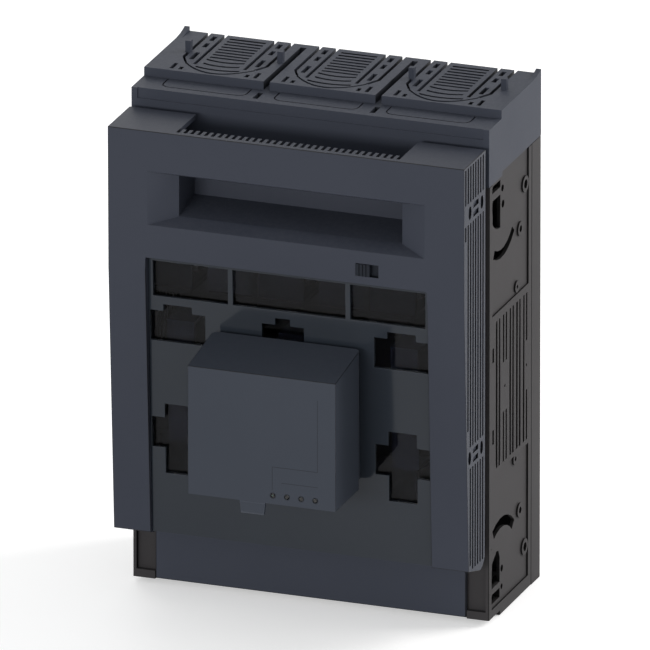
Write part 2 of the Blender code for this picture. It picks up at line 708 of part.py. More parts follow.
def side_openings(housing):
    """Cut the vent slots, the curved guide slots and the small holes of each side wall."""
    vents = bmesh.new()
    openings = bmesh.new()
    for side in SIDES:
        for pair in range(VENT_PAIRS):
            back_slot = VENT_FIRST_DEPTH - VENT_SPLIT / 2 + pair * VENT_PITCH
            front_slot = back_slot + VENT_SPLIT
            back_blank = pair in (0, VENT_PAIRS - 2)
            front_blank = pair == VENT_PAIRS - 2
            for depth, blank in ((back_slot, back_blank), (front_slot, front_blank)):
                ends = [(VENT_BOTTOM, VENT_TOP)]
                if blank:
                    ends = [(VENT_BOTTOM, FUSE_CENTRE - BLANK_HALF), (FUSE_CENTRE + BLANK_HALF, VENT_TOP)]
                for z_range in ends:
                    side_wall_cut(vents, rect(span(depth, VENT_WIDTH), z_range), side)
            if back_blank:
                hole_depth = (back_slot + front_slot) / 2 if front_blank else back_slot
                side_wall_cut(vents, circle((hole_depth, FUSE_CENTRE), BLANK_HOLE_RADIUS, 8), side)
        for offset in (-EDGE_SLOT_OFFSET, EDGE_SLOT_OFFSET):
            height_range = span(FUSE_CENTRE + offset, 2 * EDGE_SLOT_HALF)
            side_wall_cut(vents, rect(span(EDGE_SLOT_DEPTH, EDGE_SLOT_WIDTH), height_range), side)
        for centre, radius in RING_BOSSES:
            side_wall_cut(openings, circle(centre, radius - RING_WALL, 12), side)
        for centre, radius in SMALL_HOLES:
            side_wall_cut(openings, circle(centre, radius, 10), side)
        for outline in guide_openings():
            side_wall_cut(openings, outline, side)
    cut(housing, "vents", vents)
    cut(housing, "side_openings", openings)


def guide_openings():
    """Return the curved openings of a side wall as depth and height outlines."""
    across = (GUIDE_BACK, GUIDE_FRONT)
    floor = UPPER_GUIDE_TURN[1] - UPPER_GUIDE_RADIUS
    upper_window = [(GUIDE_BACK, UPPER_GUIDE_TOP), (GUIDE_BACK, floor)]
    upper_window += arc(UPPER_GUIDE_TURN, UPPER_GUIDE_RADIUS, 0.75, 1.0, 6)
    upper_window += [(GUIDE_FRONT, UPPER_GUIDE_TOP)]
    slot_across = span(CORNER_SLOT_DEPTH, CORNER_SLOT_WIDTH)
    return (
        upper_window,
        rect(across, UPPER_GAP_HEIGHTS),
        crescent(UPPER_SMILE_CENTRE, UPPER_SMILE_RADIUS, *UPPER_SMILE_ENDS, UPPER_SMILE_WIDTH),
        crescent(LOWER_FROWN_CENTRE, LOWER_FROWN_RADIUS, *LOWER_FROWN_ENDS, LOWER_FROWN_WIDTH),
        LOWER_GUIDE,
        rect(across, LOWER_GAP_HEIGHTS),
        rect(slot_across, span(CORNER_SLOT_HEIGHTS[0], CORNER_SLOT_LENGTH)),
        rect(slot_across, span(CORNER_SLOT_HEIGHTS[1], CORNER_SLOT_LENGTH)),
    )


def base_housing():
    """Main moulding of the base: side walls, barriers between the poles and hinge lugs."""
    housing = housing_shell()
    housing_rooms(housing)
    housing_foot(housing)
    housing_hinge_lugs(housing)
    side_fields(housing)
    side_openings(housing)


def contact_heights(upper):
    """Return the jaw's height range, the plate's height range and the lug hole's height."""
    jaw = UPPER_JAW if upper else LOWER_JAW
    jaw_range = span(jaw, 2 * JAW_HALF)
    if upper:
        plate = (jaw_range[0], jaw + LUG_REACH_UP)
        return jaw_range, plate, plate[1] - LUG_HOLE_INSET
    plate = (jaw - LUG_REACH_DOWN, jaw_range[1])
    return jaw_range, plate, plate[0] + LUG_HOLE_INSET


def contact(name, x, upper):
    """Silvered copper contact: a plate with two jaw blades and a lug with a bolt hole."""
    jaw_range, plate_range, hole_height = contact_heights(upper)
    back = HOUSING_BACK
    front = back + CONTACT_PLATE
    jaws = bmesh.new()
    inner = JAW_GAP / 2
    outer = inner + JAW_PLATE
    tip = JAW_DEPTH
    flare_root = tip - 2 * JAW_FLARE
    outline = [
        (-outer, back), (outer, back), (outer, flare_root), (outer + JAW_FLARE, tip),
        (inner + JAW_FLARE, tip), (inner, flare_root), (inner, front), (-inner, front),
        (-inner, flare_root), (-inner - JAW_FLARE, tip), (-outer - JAW_FLARE, tip), (-outer, flare_root),
    ]
    along_z(jaws, [(x + a, b) for a, b in outline], jaw_range)
    item = piece(name, jaws, "silvered_copper")
    plate = bmesh.new()
    block(plate, span(x, CONTACT_WIDTH), (back, front), plate_range)
    join(item, "plate", plate)
    holes = bmesh.new()
    over = (back - CUT_OVER, front + CUT_OVER)
    along_depth(holes, circle((x, hole_height), BOLT_RADIUS + BOLT_HOLE_CLEARANCE), over)
    along_depth(holes, circle((x, screw_height(upper)), CONTACT_SCREW_RADIUS + GAP, 12), over)
    cut(item, "holes", holes)


def screw_height(upper):
    """Return the height of the screw that holds a contact to the rear tray."""
    jaw_range = contact_heights(upper)[0]
    return jaw_range[1] + CONTACT_SCREW_INSET if upper else jaw_range[0] - CONTACT_SCREW_INSET


def jaw_spring(name, x, upper):
    """Steel clip round a jaw that presses its two blades together."""
    height = UPPER_JAW if upper else LOWER_JAW
    inner_x = JAW_GAP / 2 + JAW_PLATE + GAP
    inner_z = JAW_HALF + GAP
    ring = bmesh.new()
    depth_range = span(SPRING_DEPTH, SPRING_WIDTH)
    outer_x = inner_x + SPRING_THICKNESS
    outer_z = inner_z + SPRING_THICKNESS
    block(ring, (x - outer_x, x + outer_x), depth_range, (height - outer_z, height + outer_z))
    item = piece(name, ring, "spring_steel")
    hole = bmesh.new()
    over = (depth_range[0] - CUT_OVER, depth_range[1] + CUT_OVER)
    block(hole, (x - inner_x, x + inner_x), over, (height - inner_z, height + inner_z))
    cut(item, "hole", hole)


def contact_screw(name, x, upper):
    """Screw that holds one contact to the rear tray."""
    centre = (x, screw_height(upper))
    front = HOUSING_BACK + CONTACT_PLATE + GAP
    head = bmesh.new()
    along_depth(head, circle(centre, CONTACT_SCREW_HEAD, 12), (front, front + CONTACT_SCREW_RADIUS))
    item = piece(name, head, "zinc_steel")
    shank = bmesh.new()
    reach = (REAR_DEPTH + GAP, front + CONTACT_SCREW_RADIUS / 2)
    along_depth(shank, circle(centre, CONTACT_SCREW_RADIUS, 12), reach)
    join(item, "shank", shank)


def terminal_bolt(name, x, upper):
    """Hexagon bolt with a captive washer for one cable lug."""
    centre = (x, contact_heights(upper)[2])
    seat = HOUSING_BACK + CONTACT_PLATE + GAP
    washer_front = seat + WASHER_THICKNESS
    bolt = bmesh.new()
    along_depth(bolt, circle(centre, WASHER_RADIUS, 16), (seat, washer_front))
    item = piece(name, bolt, "zinc_steel")
    head = bmesh.new()
    corner_radius = BOLT_HEAD_FLAT / cos(pi / 6)
    head_range = (washer_front - WASHER_THICKNESS / 2, washer_front + BOLT_HEAD_HEIGHT)
    along_depth(head, circle(centre, corner_radius, 6), head_range)
    join(item, "head", head)
    shank = bmesh.new()
    end = seat - BOLT_REACH if upper else REAR_DEPTH + GAP
    along_depth(shank, circle(centre, BOLT_RADIUS, 12), (end, washer_front - WASHER_THICKNESS / 4))
    join(item, "shank", shank)


def touch_guard(name, pole, x, upper):
    """Finger-safe plate in front of a contact, with a slot for the fuse blade."""
    room = channel(pole)
    room = (room[0] + GAP, room[1] - GAP)
    height = UPPER_JAW if upper else LOWER_JAW
    if upper:
        front = BASE_DEPTH - GUARD_RECESS
        z_range = (UPPER_ROOM_BOTTOM + GAP, BASE_TOP_FRONT - GAP)
    else:
        front = LOWER_COVER_FRONT - LOWER_COVER_WALL - GAP - GUARD_RECESS
        inside = LOWER_COVER_HALF - COVER_LAP - GAP
        room = (max(room[0], -inside), min(room[1], inside))
        z_range = (height - JAW_HALF - GUARD_SLOT_OVER - GUARD_MARGIN, LOWER_ROOM_TOP - GAP)
    plate = bmesh.new()
    block(plate, room, (front - GUARD_THICKNESS, front), z_range)
    item = piece(name, plate, "black_brown_plastic")
    slot = bmesh.new()
    over = (front - GUARD_THICKNESS - CUT_OVER, front + CUT_OVER)
    half = JAW_HALF + GUARD_SLOT_OVER
    open_end = UPPER_ROOM_BOTTOM - CUT_OVER if upper else LOWER_ROOM_TOP + CUT_OVER
    closed_end = height + half if upper else height - half
    block(slot, span(x, GUARD_SLOT), over, sorted((open_end, closed_end)))
    cut(item, "blade_slot", slot)


def chute_range():
    """Return the depth and height ranges of an arc chute."""
    front = BASE_DEPTH - GUARD_RECESS - GUARD_THICKNESS - GAP
    bottom = UPPER_JAW + JAW_HALF + CHUTE_LIFT
    return (CHUTE_BACK, front), (bottom, bottom + CHUTE_HEIGHT)


def arc_chute(name, x):
    """Open-bottomed chamber above an upper contact that holds the steel arc plates."""
    depth_range, z_range = chute_range()
    shell = bmesh.new()
    block(shell, span(x, CHUTE_WIDTH), depth_range, z_range)
    item = piece(name, shell, "grey_plastic")
    room = bmesh.new()
    inside = (depth_range[0] + CHUTE_WALL, depth_range[1] - CHUTE_WALL)
    roof = z_range[1] - CHUTE_WALL
    block(room, span(x, CHUTE_WIDTH - 2 * CHUTE_WALL), inside, (z_range[0] - CUT_OVER, roof))
    cut(item, "room", room)
    vents = bmesh.new()
    through = (roof - CHUTE_WALL, z_range[1] + CUT_OVER)
    for share in (0.25, 0.75):
        centre = inside[0] + share * (inside[1] - inside[0])
        block(vents, span(x, CHUTE_WIDTH / 2), span(centre, CHUTE_VENT), through)
    cut(item, "vents", vents)


def deion_stack(name, x):
    """Notched steel plates on two side rails inside an arc chute."""
    depth_range, z_range = chute_range()
    inside = (depth_range[0] + CHUTE_WALL + GAP, depth_range[1] - CHUTE_WALL - GAP)
    pitch = (inside[1] - inside[0] - DEION_THICKNESS) / (DEION_PLATES - 1)
    half = CHUTE_WIDTH / 2 - CHUTE_WALL - GAP
    low, high = z_range[0] + CHUTE_WALL, z_range[1] - CHUTE_WALL - GAP
    notch = DEION_NOTCH / 2
    outline = [
        (x - half, low), (x - notch, low), (x, low + 2 * notch), (x + notch, low), (x + half, low),
        (x + half, high), (x - half, high),
    ]
    plates = bmesh.new()
    for index in range(DEION_PLATES):
        centre = inside[0] + DEION_THICKNESS / 2 + index * pitch
        along_depth(plates, outline, span(centre, DEION_THICKNESS))
    item = piece(name, plates, "spring_steel")
    rails = bmesh.new()
    rail_z = span((low + high) / 2, DEION_RAIL)
    for side in SIDES:
        outer = x + side * (half - DEION_THICKNESS / 2)
        rail_x = sorted((outer, outer - side * DEION_THICKNESS))
        block(rails, rail_x, (inside[0] + DEION_THICKNESS / 2, inside[1] - DEION_THICKNESS / 2), rail_z)
    join(item, "rails", rails)


def cover_shell():
    """Return the upper terminal cover's stepped outer block, hollow and open below."""
    body = bmesh.new()
    outline = [
        (0, BASE_TOP_BACK), (TOP_STEP_DEPTH, BASE_TOP_BACK), (TOP_STEP_DEPTH, BASE_TOP_FRONT),
        (COVER_FRONT, BASE_TOP_FRONT), (COVER_FRONT, STEP_TOP), (HUMP_FRONT, STEP_TOP),
        (HUMP_FRONT, HEIGHT), (0, HEIGHT),
    ]
    along_x(body, outline, (-HALF, HALF))
    cover = piece("upper_terminal_cover", body, "blue_grey_plastic")
    room = bmesh.new()
    inside = (-HALF + COVER_WALL, HALF - COVER_WALL)
    below = BASE_TOP_FRONT - CUT_OVER
    front = COVER_FRONT - COVER_WALL
    hump = HUMP_FRONT - COVER_WALL
    step = STEP_TOP - COVER_TOP_WALL
    roof = HEIGHT - COVER_TOP_WALL
    back = COVER_WALL
    hollow = [(back, below), (front, below), (front, step), (hump, step), (hump, roof), (back, roof)]
    along_x(room, hollow, inside)
    cut(cover, "room", room)
    return cover


def cover_corners(cover):
    """Add the raised rear corners and the four square pegs."""
    extras = bmesh.new()
    root = HEIGHT - COVER_TOP_WALL / 2
    ramp = [(0, root), (CORNER_RAMP, root), (CORNER_RAMP, HEIGHT)]
    for share in (0.5, 0.2, 0):
        ramp.append((CORNER_RAMP * share, HEIGHT + CORNER_RISE * (1 - share) ** 2))
    for side in SIDES:
        along_x(extras, ramp, sorted((side * HALF, side * (HALF - COVER_WALL))))
    for pole_x in (POLE_X[0], POLE_X[-1]):
        for offset in PEG_OFFSETS:
            x_range = span(pole_x + offset, PEG_SIDE)
            block(extras, x_range, span(PEG_DEPTH, PEG_SIDE), (root, HEIGHT + PEG_HEIGHT))
    join(cover, "corners_and_pegs", extras)


def curved_slot(shape, x, depth, sag, half, z_range, steps=6):
    """Add a slot whose middle bows to the front."""
    points = [(half * (2 * step / steps - 1)) for step in range(steps + 1)]
    front = [(x + a, depth + sag * (1 - (a / half) ** 2) + GRILLE_SLOT / 2) for a in points]
    back = [(x + a, depth + sag * (1 - (a / half) ** 2) - GRILLE_SLOT / 2) for a in reversed(points)]
    along_z(shape, front + back, z_range)


def cover_grille(cover):
    """Cut the vent grille of each pole through the top wall."""
    slots = bmesh.new()
    through = (HEIGHT - 2 * COVER_TOP_WALL, HEIGHT + CUT_OVER)
    half = GRILLE_SLOT / 2
    for x in POLE_X:
        for index in range(GRILLE_STRAIGHT):
            depth = GRILLE_FIRST + index * GRILLE_PITCH
            block(slots, span(x, 2 * GRILLE_HALF), span(depth, GRILLE_SLOT), through)
        for depth, share in GRILLE_CURVED:
            curved_slot(slots, x, depth, GRILLE_SAG, share * GRILLE_HALF, through)
        for side in SIDES:
            block(slots, span(x + side * INNER_SLIT, GRILLE_SLOT), INNER_SLIT_DEPTHS, through)
            outer = x + side * OUTER_SLIT
            elbow = outer - side * ELBOW_OFFSET
            bend = [
                (outer - half, -CUT_OVER), (outer + half, -CUT_OVER), (outer + half, ELBOW_START),
                (elbow + half, ELBOW_END), (elbow - half, ELBOW_END - half),
                (outer - half, ELBOW_START - half),
            ]
            along_z(slots, bend, through)
            dash_x = x + side * DASH_LINE
            for share, length in DASH_SHARES:
                dash = span(share * ELBOW_START, length * ELBOW_START)
                block(slots, span(dash_x, DASH_WIDTH), dash, through)
            block(slots, span(outer, FOOT_SLOT_WIDTH), (OUTER_FOOT_SLOT, FOOT_SLOT_FRONT), through)
            block(slots, span(dash_x, FOOT_SLOT_WIDTH), (INNER_FOOT_SLOT, FOOT_SLOT_FRONT), through)
    cut(cover, "grille", slots)


def cover_splits(cover):
    """Cut the valleys between the three raised parts and the slots in the step before them."""
    walls = bmesh.new()
    for line in (-0.5, 0.5):
        under_hump = (HUMP_SPLIT_BACK - COVER_WALL / 2, HUMP_FRONT - COVER_WALL / 2)
        z_range = (STEP_TOP - COVER_TOP_WALL, HEIGHT - COVER_TOP_WALL / 2)
        block(walls, span(line * POLE_PITCH, HUMP_SPLIT + COVER_WALL), under_hump, z_range)
    join(cover, "valley_walls", walls)
    gaps = bmesh.new()
    for line in (-0.5, 0.5):
        x = line * POLE_PITCH
        over_hump = (HUMP_SPLIT_BACK, HUMP_FRONT + CUT_OVER)
        block(gaps, span(x, HUMP_SPLIT), over_hump, (STEP_TOP, HEIGHT + CUT_OVER))
        slot_x = x + line * STEP_SLOT
        through = (STEP_TOP - 2 * COVER_TOP_WALL, STEP_TOP + CUT_OVER)
        block(gaps, span(slot_x, STEP_SLOT), (STEP_SLOT_BACK, STEP_SLOT_FRONT), through)
    cut(cover, "splits", gaps)


def rounded_line(x, half, depth_range, radius, line):
    """Return the outline of a thin U-shaped line with two round corners."""
    back, front = depth_range

    def path(inset):
        r = radius - inset
        left = arc((x - half + radius, front - radius), r, 0.5, 0.25, 4)
        right = arc((x + half - radius, front - radius), r, 0.25, 0, 4)
        return [(x - half + inset, back)] + left + right + [(x + half - inset, back)]

    return path(0) + path(line)[::-1]


def cover_lines(cover):
    """Engrave the knock-out line and the bow of each pole, and set the front wall's top edge back."""
    lines = bmesh.new()
    reach = (KNOCKOUT_BACK, KNOCKOUT_FRONT)
    for x in POLE_X:
        outline = rounded_line(x, KNOCKOUT_HALF, reach, KNOCKOUT_RADIUS, KNOCKOUT_LINE)
        along_z(lines, outline, (STEP_TOP - LINE_RELIEF, STEP_TOP + CUT_OVER))
        bow_range = (HEIGHT - LINE_RELIEF, HEIGHT + CUT_OVER)
        curved_slot(lines, x, ELBOW_END, BOW_SAG, OUTER_SLIT - ELBOW_OFFSET, bow_range, 12)
    lip = (COVER_FRONT - LIP_RELIEF, COVER_FRONT + CUT_OVER)
    block(lines, (-LIP_HALF, LIP_HALF), lip, (LIP_HEIGHT, STEP_TOP + CUT_OVER))
    cut(cover, "lines", lines)


def upper_terminal_cover():
    """Clip-on cover over the upper cable lugs, with its grille."""
    cover = cover_shell()
    cover_grille(cover)
    cover_splits(cover)
    cover_lines(cover)
    cover_corners(cover)


def lower_terminal_cover():
    """Clip-on cover in front of the lower cable lugs."""
    plate = bmesh.new()
    depth_range = (LOWER_COVER_FRONT - LOWER_COVER_WALL, LOWER_COVER_FRONT)
    block(plate, (-LOWER_COVER_HALF, LOWER_COVER_HALF), depth_range, (LOWER_COVER_BOTTOM, LOWER_COVER_TOP))
    cover = piece("lower_terminal_cover", plate, "blue_grey_plastic")
    ribs = bmesh.new()
    foot = LOWER_COVER_FRONT - LOWER_COVER_WALL
    for x in POLE_X:
        rib = (foot - 4 * LOWER_COVER_WALL, foot + LOWER_COVER_WALL / 2)
        block(ribs, span(x, CABLE_SLOT_WIDTH), rib, (FLOOR_TOP + GAP, FLOOR_TOP + GAP + LOWER_COVER_WALL))
    join(cover, "ribs", ribs)


def hinge_pins():
    """Steel pins that join the base's lugs to the handle unit's cheeks."""
    for side, label in zip(SIDES, ("left", "right")):
        inner = side * (HANDLE_INSIDE - HINGE_PIN_SEAT - GAP - HINGE_LUG_WIDTH)
        outer = side * (HANDLE_INSIDE + HANDLE_WALL / 2 - GAP)
        pin = bmesh.new()
        along_x(pin, circle((HINGE_DEPTH, HINGE_HEIGHT), HINGE_PIN_RADIUS), sorted((inner, outer)))
        soften(piece(f"hinge_pin_{label}", pin, "zinc_steel"))


def handle_front(height):
    """Return the depth of the handle unit's front face at a height."""
    if height >= HANDLE_CREASE:
        share = (height - HANDLE_CREASE) / (HANDLE_TOP - HANDLE_CREASE)
        return HANDLE_MIDDLE_FRONT + share * (HANDLE_FRONT - HANDLE_MIDDLE_FRONT)
    share = (height - HANDLE_BOTTOM) / (HANDLE_CREASE - HANDLE_BOTTOM)
    return HANDLE_FOOT_FRONT + share * (HANDLE_MIDDLE_FRONT - HANDLE_FOOT_FRONT)


def handle_shell():
    """Return the handle unit's frame with its rooms, before the details are cut."""
    body = bmesh.new()
    foot = arc((HINGE_DEPTH, HINGE_HEIGHT), HINGE_BOSS_RADIUS, 0.75, 0.5, 5)
    outline = [
        (HANDLE_BACK, HANDLE_TOP), (handle_front(HANDLE_TOP), HANDLE_TOP),
        (handle_front(HANDLE_CREASE), HANDLE_CREASE), (handle_front(HANDLE_BOTTOM), HANDLE_BOTTOM),
    ] + foot
    along_x(body, outline, (-HANDLE_HALF, HANDLE_HALF))
    frame = piece("handle_frame", body, "blue_grey_plastic", Model.handle)
    low = HANDLE_BOTTOM - 2 * HINGE_BOSS_RADIUS
    leg_back = handle_front(WINDOW_TOP) - LEG_WALL_DEPTH
    rear_room = bmesh.new()
    top = HANDLE_TOP - HANDLE_WALL
    block(rear_room, (-HANDLE_INSIDE, HANDLE_INSIDE), (HANDLE_BACK - CUT_OVER, leg_back), (low, top))
    cut(frame, "rear_room", rear_room)
    upper_room = bmesh.new()
    ledge = WINDOW_TOP + LEG_WALL
    face = -HANDLE_WALL
    outline = [
        (leg_back - CUT_OVER, ledge), (handle_front(ledge) + face, ledge), (handle_front(top) + face, top),
        (leg_back - CUT_OVER, top),
    ]
    along_x(upper_room, outline, (-HANDLE_INSIDE, HANDLE_INSIDE))
    cut(frame, "upper_room", upper_room)
    leg_rooms = bmesh.new()
    outline = [
        (leg_back - 2 * CUT_OVER, low), (handle_front(HANDLE_BOTTOM) + face, low),
        (handle_front(HANDLE_BOTTOM) + face, HANDLE_BOTTOM),
        (handle_front(HANDLE_CREASE) + face, HANDLE_CREASE),
        (handle_front(ledge) + face, ledge + CUT_OVER), (leg_back - 2 * CUT_OVER, ledge + CUT_OVER),
    ]
    for side in SIDES:
        along_x(leg_rooms, outline, sorted((side * (WINDOW_HALF + LEG_WALL), side * HANDLE_INSIDE)))
    cut(frame, "leg_rooms", leg_rooms)
    window = bmesh.new()
    over = (HANDLE_BACK - CUT_OVER, HANDLE_FRONT + CUT_OVER)
    block(window, (-WINDOW_HALF, WINDOW_HALF), over, (low - CUT_OVER, WINDOW_TOP))
    cut(frame, "window", window)
    return frame


def handle_grip(frame):
    """Add the walls of the finger recess to the frame, then cut the recess."""
    walls = bmesh.new()
    behind = HANDLE_FRONT - HANDLE_WALL / 2
    throat = GRIP_HALF + GRIP_WALL
    block(walls, (-throat, throat), (HANDLE_BACK, behind), (GRIP_BOTTOM - GRIP_WALL, GRIP_TOP + GRIP_WALL))
    join(frame, "grip_walls", walls)
    flange = bmesh.new()
    lip = GRIP_LIP_HALF + GRIP_WALL
    depth_range = (GRIP_THROAT_DEPTH - GRIP_WALL, HANDLE_MIDDLE_FRONT - HANDLE_WALL / 2)
    block(flange, (-lip, lip), depth_range, (GRIP_LIP_BOTTOM - GRIP_WALL, GRIP_LIP_TOP + GRIP_WALL))
    join(frame, "grip_flange", flange)
    pocket = bmesh.new()
    back = HANDLE_BACK + GRIP_WALL
    outline = [
        (back, GRIP_BACK_BOTTOM), (GRIP_THROAT_DEPTH, GRIP_BOTTOM), (HANDLE_FRONT, GRIP_BOTTOM),
        (HANDLE_FRONT, GRIP_TOP), (back, GRIP_TOP),
    ]
    along_x(pocket, outline, (-GRIP_HALF, GRIP_HALF))
    cut(frame, "grip_pocket", pocket)
    flare = bmesh.new()
    front = HANDLE_FRONT + CUT_OVER
    grow = (front - GRIP_THROAT_DEPTH) / (HANDLE_MIDDLE_FRONT - GRIP_THROAT_DEPTH)
    half = GRIP_HALF + grow * (GRIP_LIP_HALF - GRIP_HALF)
    low = GRIP_BOTTOM + grow * (GRIP_LIP_BOTTOM - GRIP_BOTTOM)
    high = GRIP_TOP + grow * (GRIP_LIP_TOP - GRIP_TOP)
    throat_ring = upright_ring(GRIP_HALF, GRIP_BOTTOM, GRIP_TOP, GRIP_THROAT_DEPTH)
    wedge(flare, throat_ring, upright_ring(half, low, high, front))
    cut(frame, "grip_flare", flare)


def handle_comb(frame):
    """Cut the vent opening in the top wall with its row of comb slots."""
    opening = bmesh.new()
    z_range = (HANDLE_TOP - 1.5 * HANDLE_WALL, HANDLE_TOP + CUT_OVER)
    block(opening, (-COMB_HALF, COMB_HALF), (HANDLE_BACK - CUT_OVER, COMB_ROOT), z_range)
    cut(frame, "vent", opening)
    slots = bmesh.new()
    count = int(2 * COMB_HALF / COMB_PITCH) + 1
    for index in range(count):
        x = (index - (count - 1) / 2) * COMB_PITCH
        block(slots, span(x, COMB_SLOT), (COMB_ROOT - CUT_OVER, COMB_FRONT), z_range)
    cut(frame, "comb", slots)


def handle_ribs(frame):
    """Cut the upright grooves of both cheeks, broken by two patterned bands."""
    grooves = bmesh.new()
    edges = [HANDLE_BOTTOM]
    for centre in BAND_HEIGHTS:
        edges += [centre - BAND_HALF, centre + BAND_HALF]
    edges.append(HANDLE_TOP - RIB_MARGIN)
    for side in SIDES:
        for index in range(RIB_COUNT):
            depth = RIB_FIRST_DEPTH + index * RIB_PITCH
            for low, high in zip(edges[0::2], edges[1::2]):
                while low < high and handle_front(low) < depth + RIB_SLOT / 2 + RIB_MARGIN:
                    low += RIB_MARGIN
                if high - low > RIB_PITCH:
                    cheek_groove(grooves, side, span(depth, RIB_SLOT), (low, high))
        for centre in BAND_HEIGHTS:
            band_pattern(grooves, side, centre)
    cut(frame, "ribs", grooves)


def cheek_groove(shape, side, depth_range, z_range):
    """Add one upright groove cutter in a cheek."""
    x_range = sorted((side * (HANDLE_HALF - RIB_RELIEF), side * (HANDLE_HALF + CUT_OVER)))
    block(shape, x_range, depth_range, z_range)


def band_pattern(shape, side, height):
    """Add two oval pockets with two short dashes between them."""
    x_range = sorted((side * (HANDLE_HALF - RIB_RELIEF), side * (HANDLE_HALF + CUT_OVER)))
    for offset in (-BAND_OVAL_OFFSET, BAND_OVAL_OFFSET):
        middle = BAND_MIDDLE + offset
        ring = circle((0, 0), 0.5, 12)
        oval = [(middle + BAND_OVAL_DEPTH * a, height + BAND_OVAL_HEIGHT * b) for a, b in ring]
        along_x(shape, oval, x_range)
    for offset in (-BAND_DASH_OFFSET, BAND_DASH_OFFSET):
        block(shape, x_range, span(BAND_MIDDLE, BAND_DASH_LENGTH), span(height + offset, BAND_DASH))


def handle_hinge(frame):
    """Add a boss inside each cheek and sink the pin's seat into it."""
    bosses = bmesh.new()
    seats = bmesh.new()
    centre = (HINGE_DEPTH, HINGE_HEIGHT)
    radius = HINGE_PIN_RADIUS + PIN_CLEARANCE
    for side in SIDES:
        root = side * (HANDLE_INSIDE + HANDLE_WALL / 2)
        boss_end = side * (HANDLE_INSIDE - HINGE_PIN_SEAT)
        seat_end = side * (HANDLE_INSIDE - 2 * HINGE_PIN_SEAT)
        along_x(bosses, circle(centre, HINGE_LUG_RADIUS), sorted((boss_end, root)))
        along_x(seats, circle(centre, radius), sorted((seat_end, root)))
    join(frame, "hinge_bosses", bosses)
    cut(frame, "pin_seats", seats)


def handle_frame():
    """Frame of the handle unit, with the finger recess, the vent comb and the ribbed cheeks."""
    frame = handle_shell()
    handle_grip(frame)
    handle_comb(frame)
    handle_ribs(frame)
    handle_hinge(frame)
    slot = bmesh.new()
    over = (HANDLE_FRONT - 2 * HANDLE_WALL, HANDLE_FRONT + CUT_OVER)
    block(slot, (LOCK_LEFT, LOCK_RIGHT), over, (LOCK_BOTTOM, LOCK_TOP))
    cut(frame, "lock_slot", slot)


def carrier_front(height):
    """Return the depth of the fuse carrier plate's front face at a height."""
    share = (height - HANDLE_BOTTOM) / (HANDLE_CREASE - HANDLE_BOTTOM)
    setback = CARRIER_FOOT_SETBACK + share * (CARRIER_SETBACK - CARRIER_FOOT_SETBACK)
    low = HANDLE_FOOT_FRONT + share * (HANDLE_MIDDLE_FRONT - HANDLE_FOOT_FRONT)
    return low - setback


def sloped_plate(shape, half_width, z_range, offset, thickness):
    """Add a plate parallel to the fuse carrier, its back face offset before the carrier's front."""
    low, high = z_range
    outline = [
        (carrier_front(low) + offset, low), (carrier_front(low) + offset + thickness, low),
        (carrier_front(high) + offset + thickness, high), (carrier_front(high) + offset, high),
    ]
    along_x(shape, outline, (-half_width, half_width))


def keyhole(left, right, neck_left, neck_right, bottom, shoulder, top):
    """Return the outline of an opening with a narrower neck at its top."""
    return [
        (left, bottom), (right, bottom), (right, shoulder), (neck_right, shoulder),
        (neck_right, top), (neck_left, top), (neck_left, shoulder), (left, shoulder),
    ]


def carrier_openings(shape, over):
    """Add the cutters of the carrier plate's openings."""
    edges = (-TOP_OPENING_HALF, -TOP_WEB_OFFSET, TOP_WEB_OFFSET, TOP_OPENING_HALF)
    web = TOP_OPENING_WEB / 2
    for left, right in zip(edges[:-1], edges[1:]):
        block(shape, (left + web, right - web), over, (TOP_OPENING_BOTTOM, TOP_OPENING_TOP))
    bottom, shoulder, top = UPPER_KEYHOLE
    wide, narrow = KEYHOLE_HALF, KEYHOLE_NECK
    for x in (POLE_X[0], POLE_X[-1]):
        along_depth(shape, keyhole(x - wide, x + wide, x - narrow, x + narrow, bottom, shoulder, top), over)
        foot, low, high, head = LOWER_KEYHOLE
        outline = [
            (x - narrow, foot), (x + narrow, foot), (x + narrow, low), (x + wide, low), (x + wide, high),
            (x + narrow, high), (x + narrow, head), (x - narrow, head), (x - narrow, high), (x - wide, high),
            (x - wide, low), (x - narrow, low),
        ]
        along_depth(shape, outline, over)
    right, neck_right = MIDDLE_KEYHOLE_WIDTH - wide, MIDDLE_KEYHOLE_NECK - narrow
    bottom = MONITOR_BACK_TOP - FOOT_INSET + GAP
    along_depth(shape, keyhole(-wide, right, -narrow, neck_right, bottom, shoulder, top), over)


def monitor_passages(shape, over):
    """Add the cutters of the monitor's screw holes and its cable hole."""
    for x, height in screw_places():
        along_depth(shape, circle((x, height), SCREW_RADIUS + GAP, 10), over)
    block(shape, CABLE_HOLE, over, span(FUSE_CENTRE, 2 * CABLE_HOLE_HALF))


def fuse_carrier_plate():
    """Front plate between the frame's legs, with keyhole openings in front of the fuses."""
    plate = bmesh.new()
    z_range = (HANDLE_BOTTOM, WINDOW_TOP - GAP)
    sloped_plate(plate, WINDOW_HALF - GAP, z_range, -CARRIER_THICKNESS, CARRIER_THICKNESS)
    item = piece("fuse_carrier_plate", plate, "grey_plastic", Model.handle)
    openings = bmesh.new()
    over = (HANDLE_FOOT_FRONT - 4 * CARRIER_THICKNESS, HANDLE_FRONT)
    carrier_openings(openings, over)
    monitor_passages(openings, over)
    cut(item, "openings", openings)


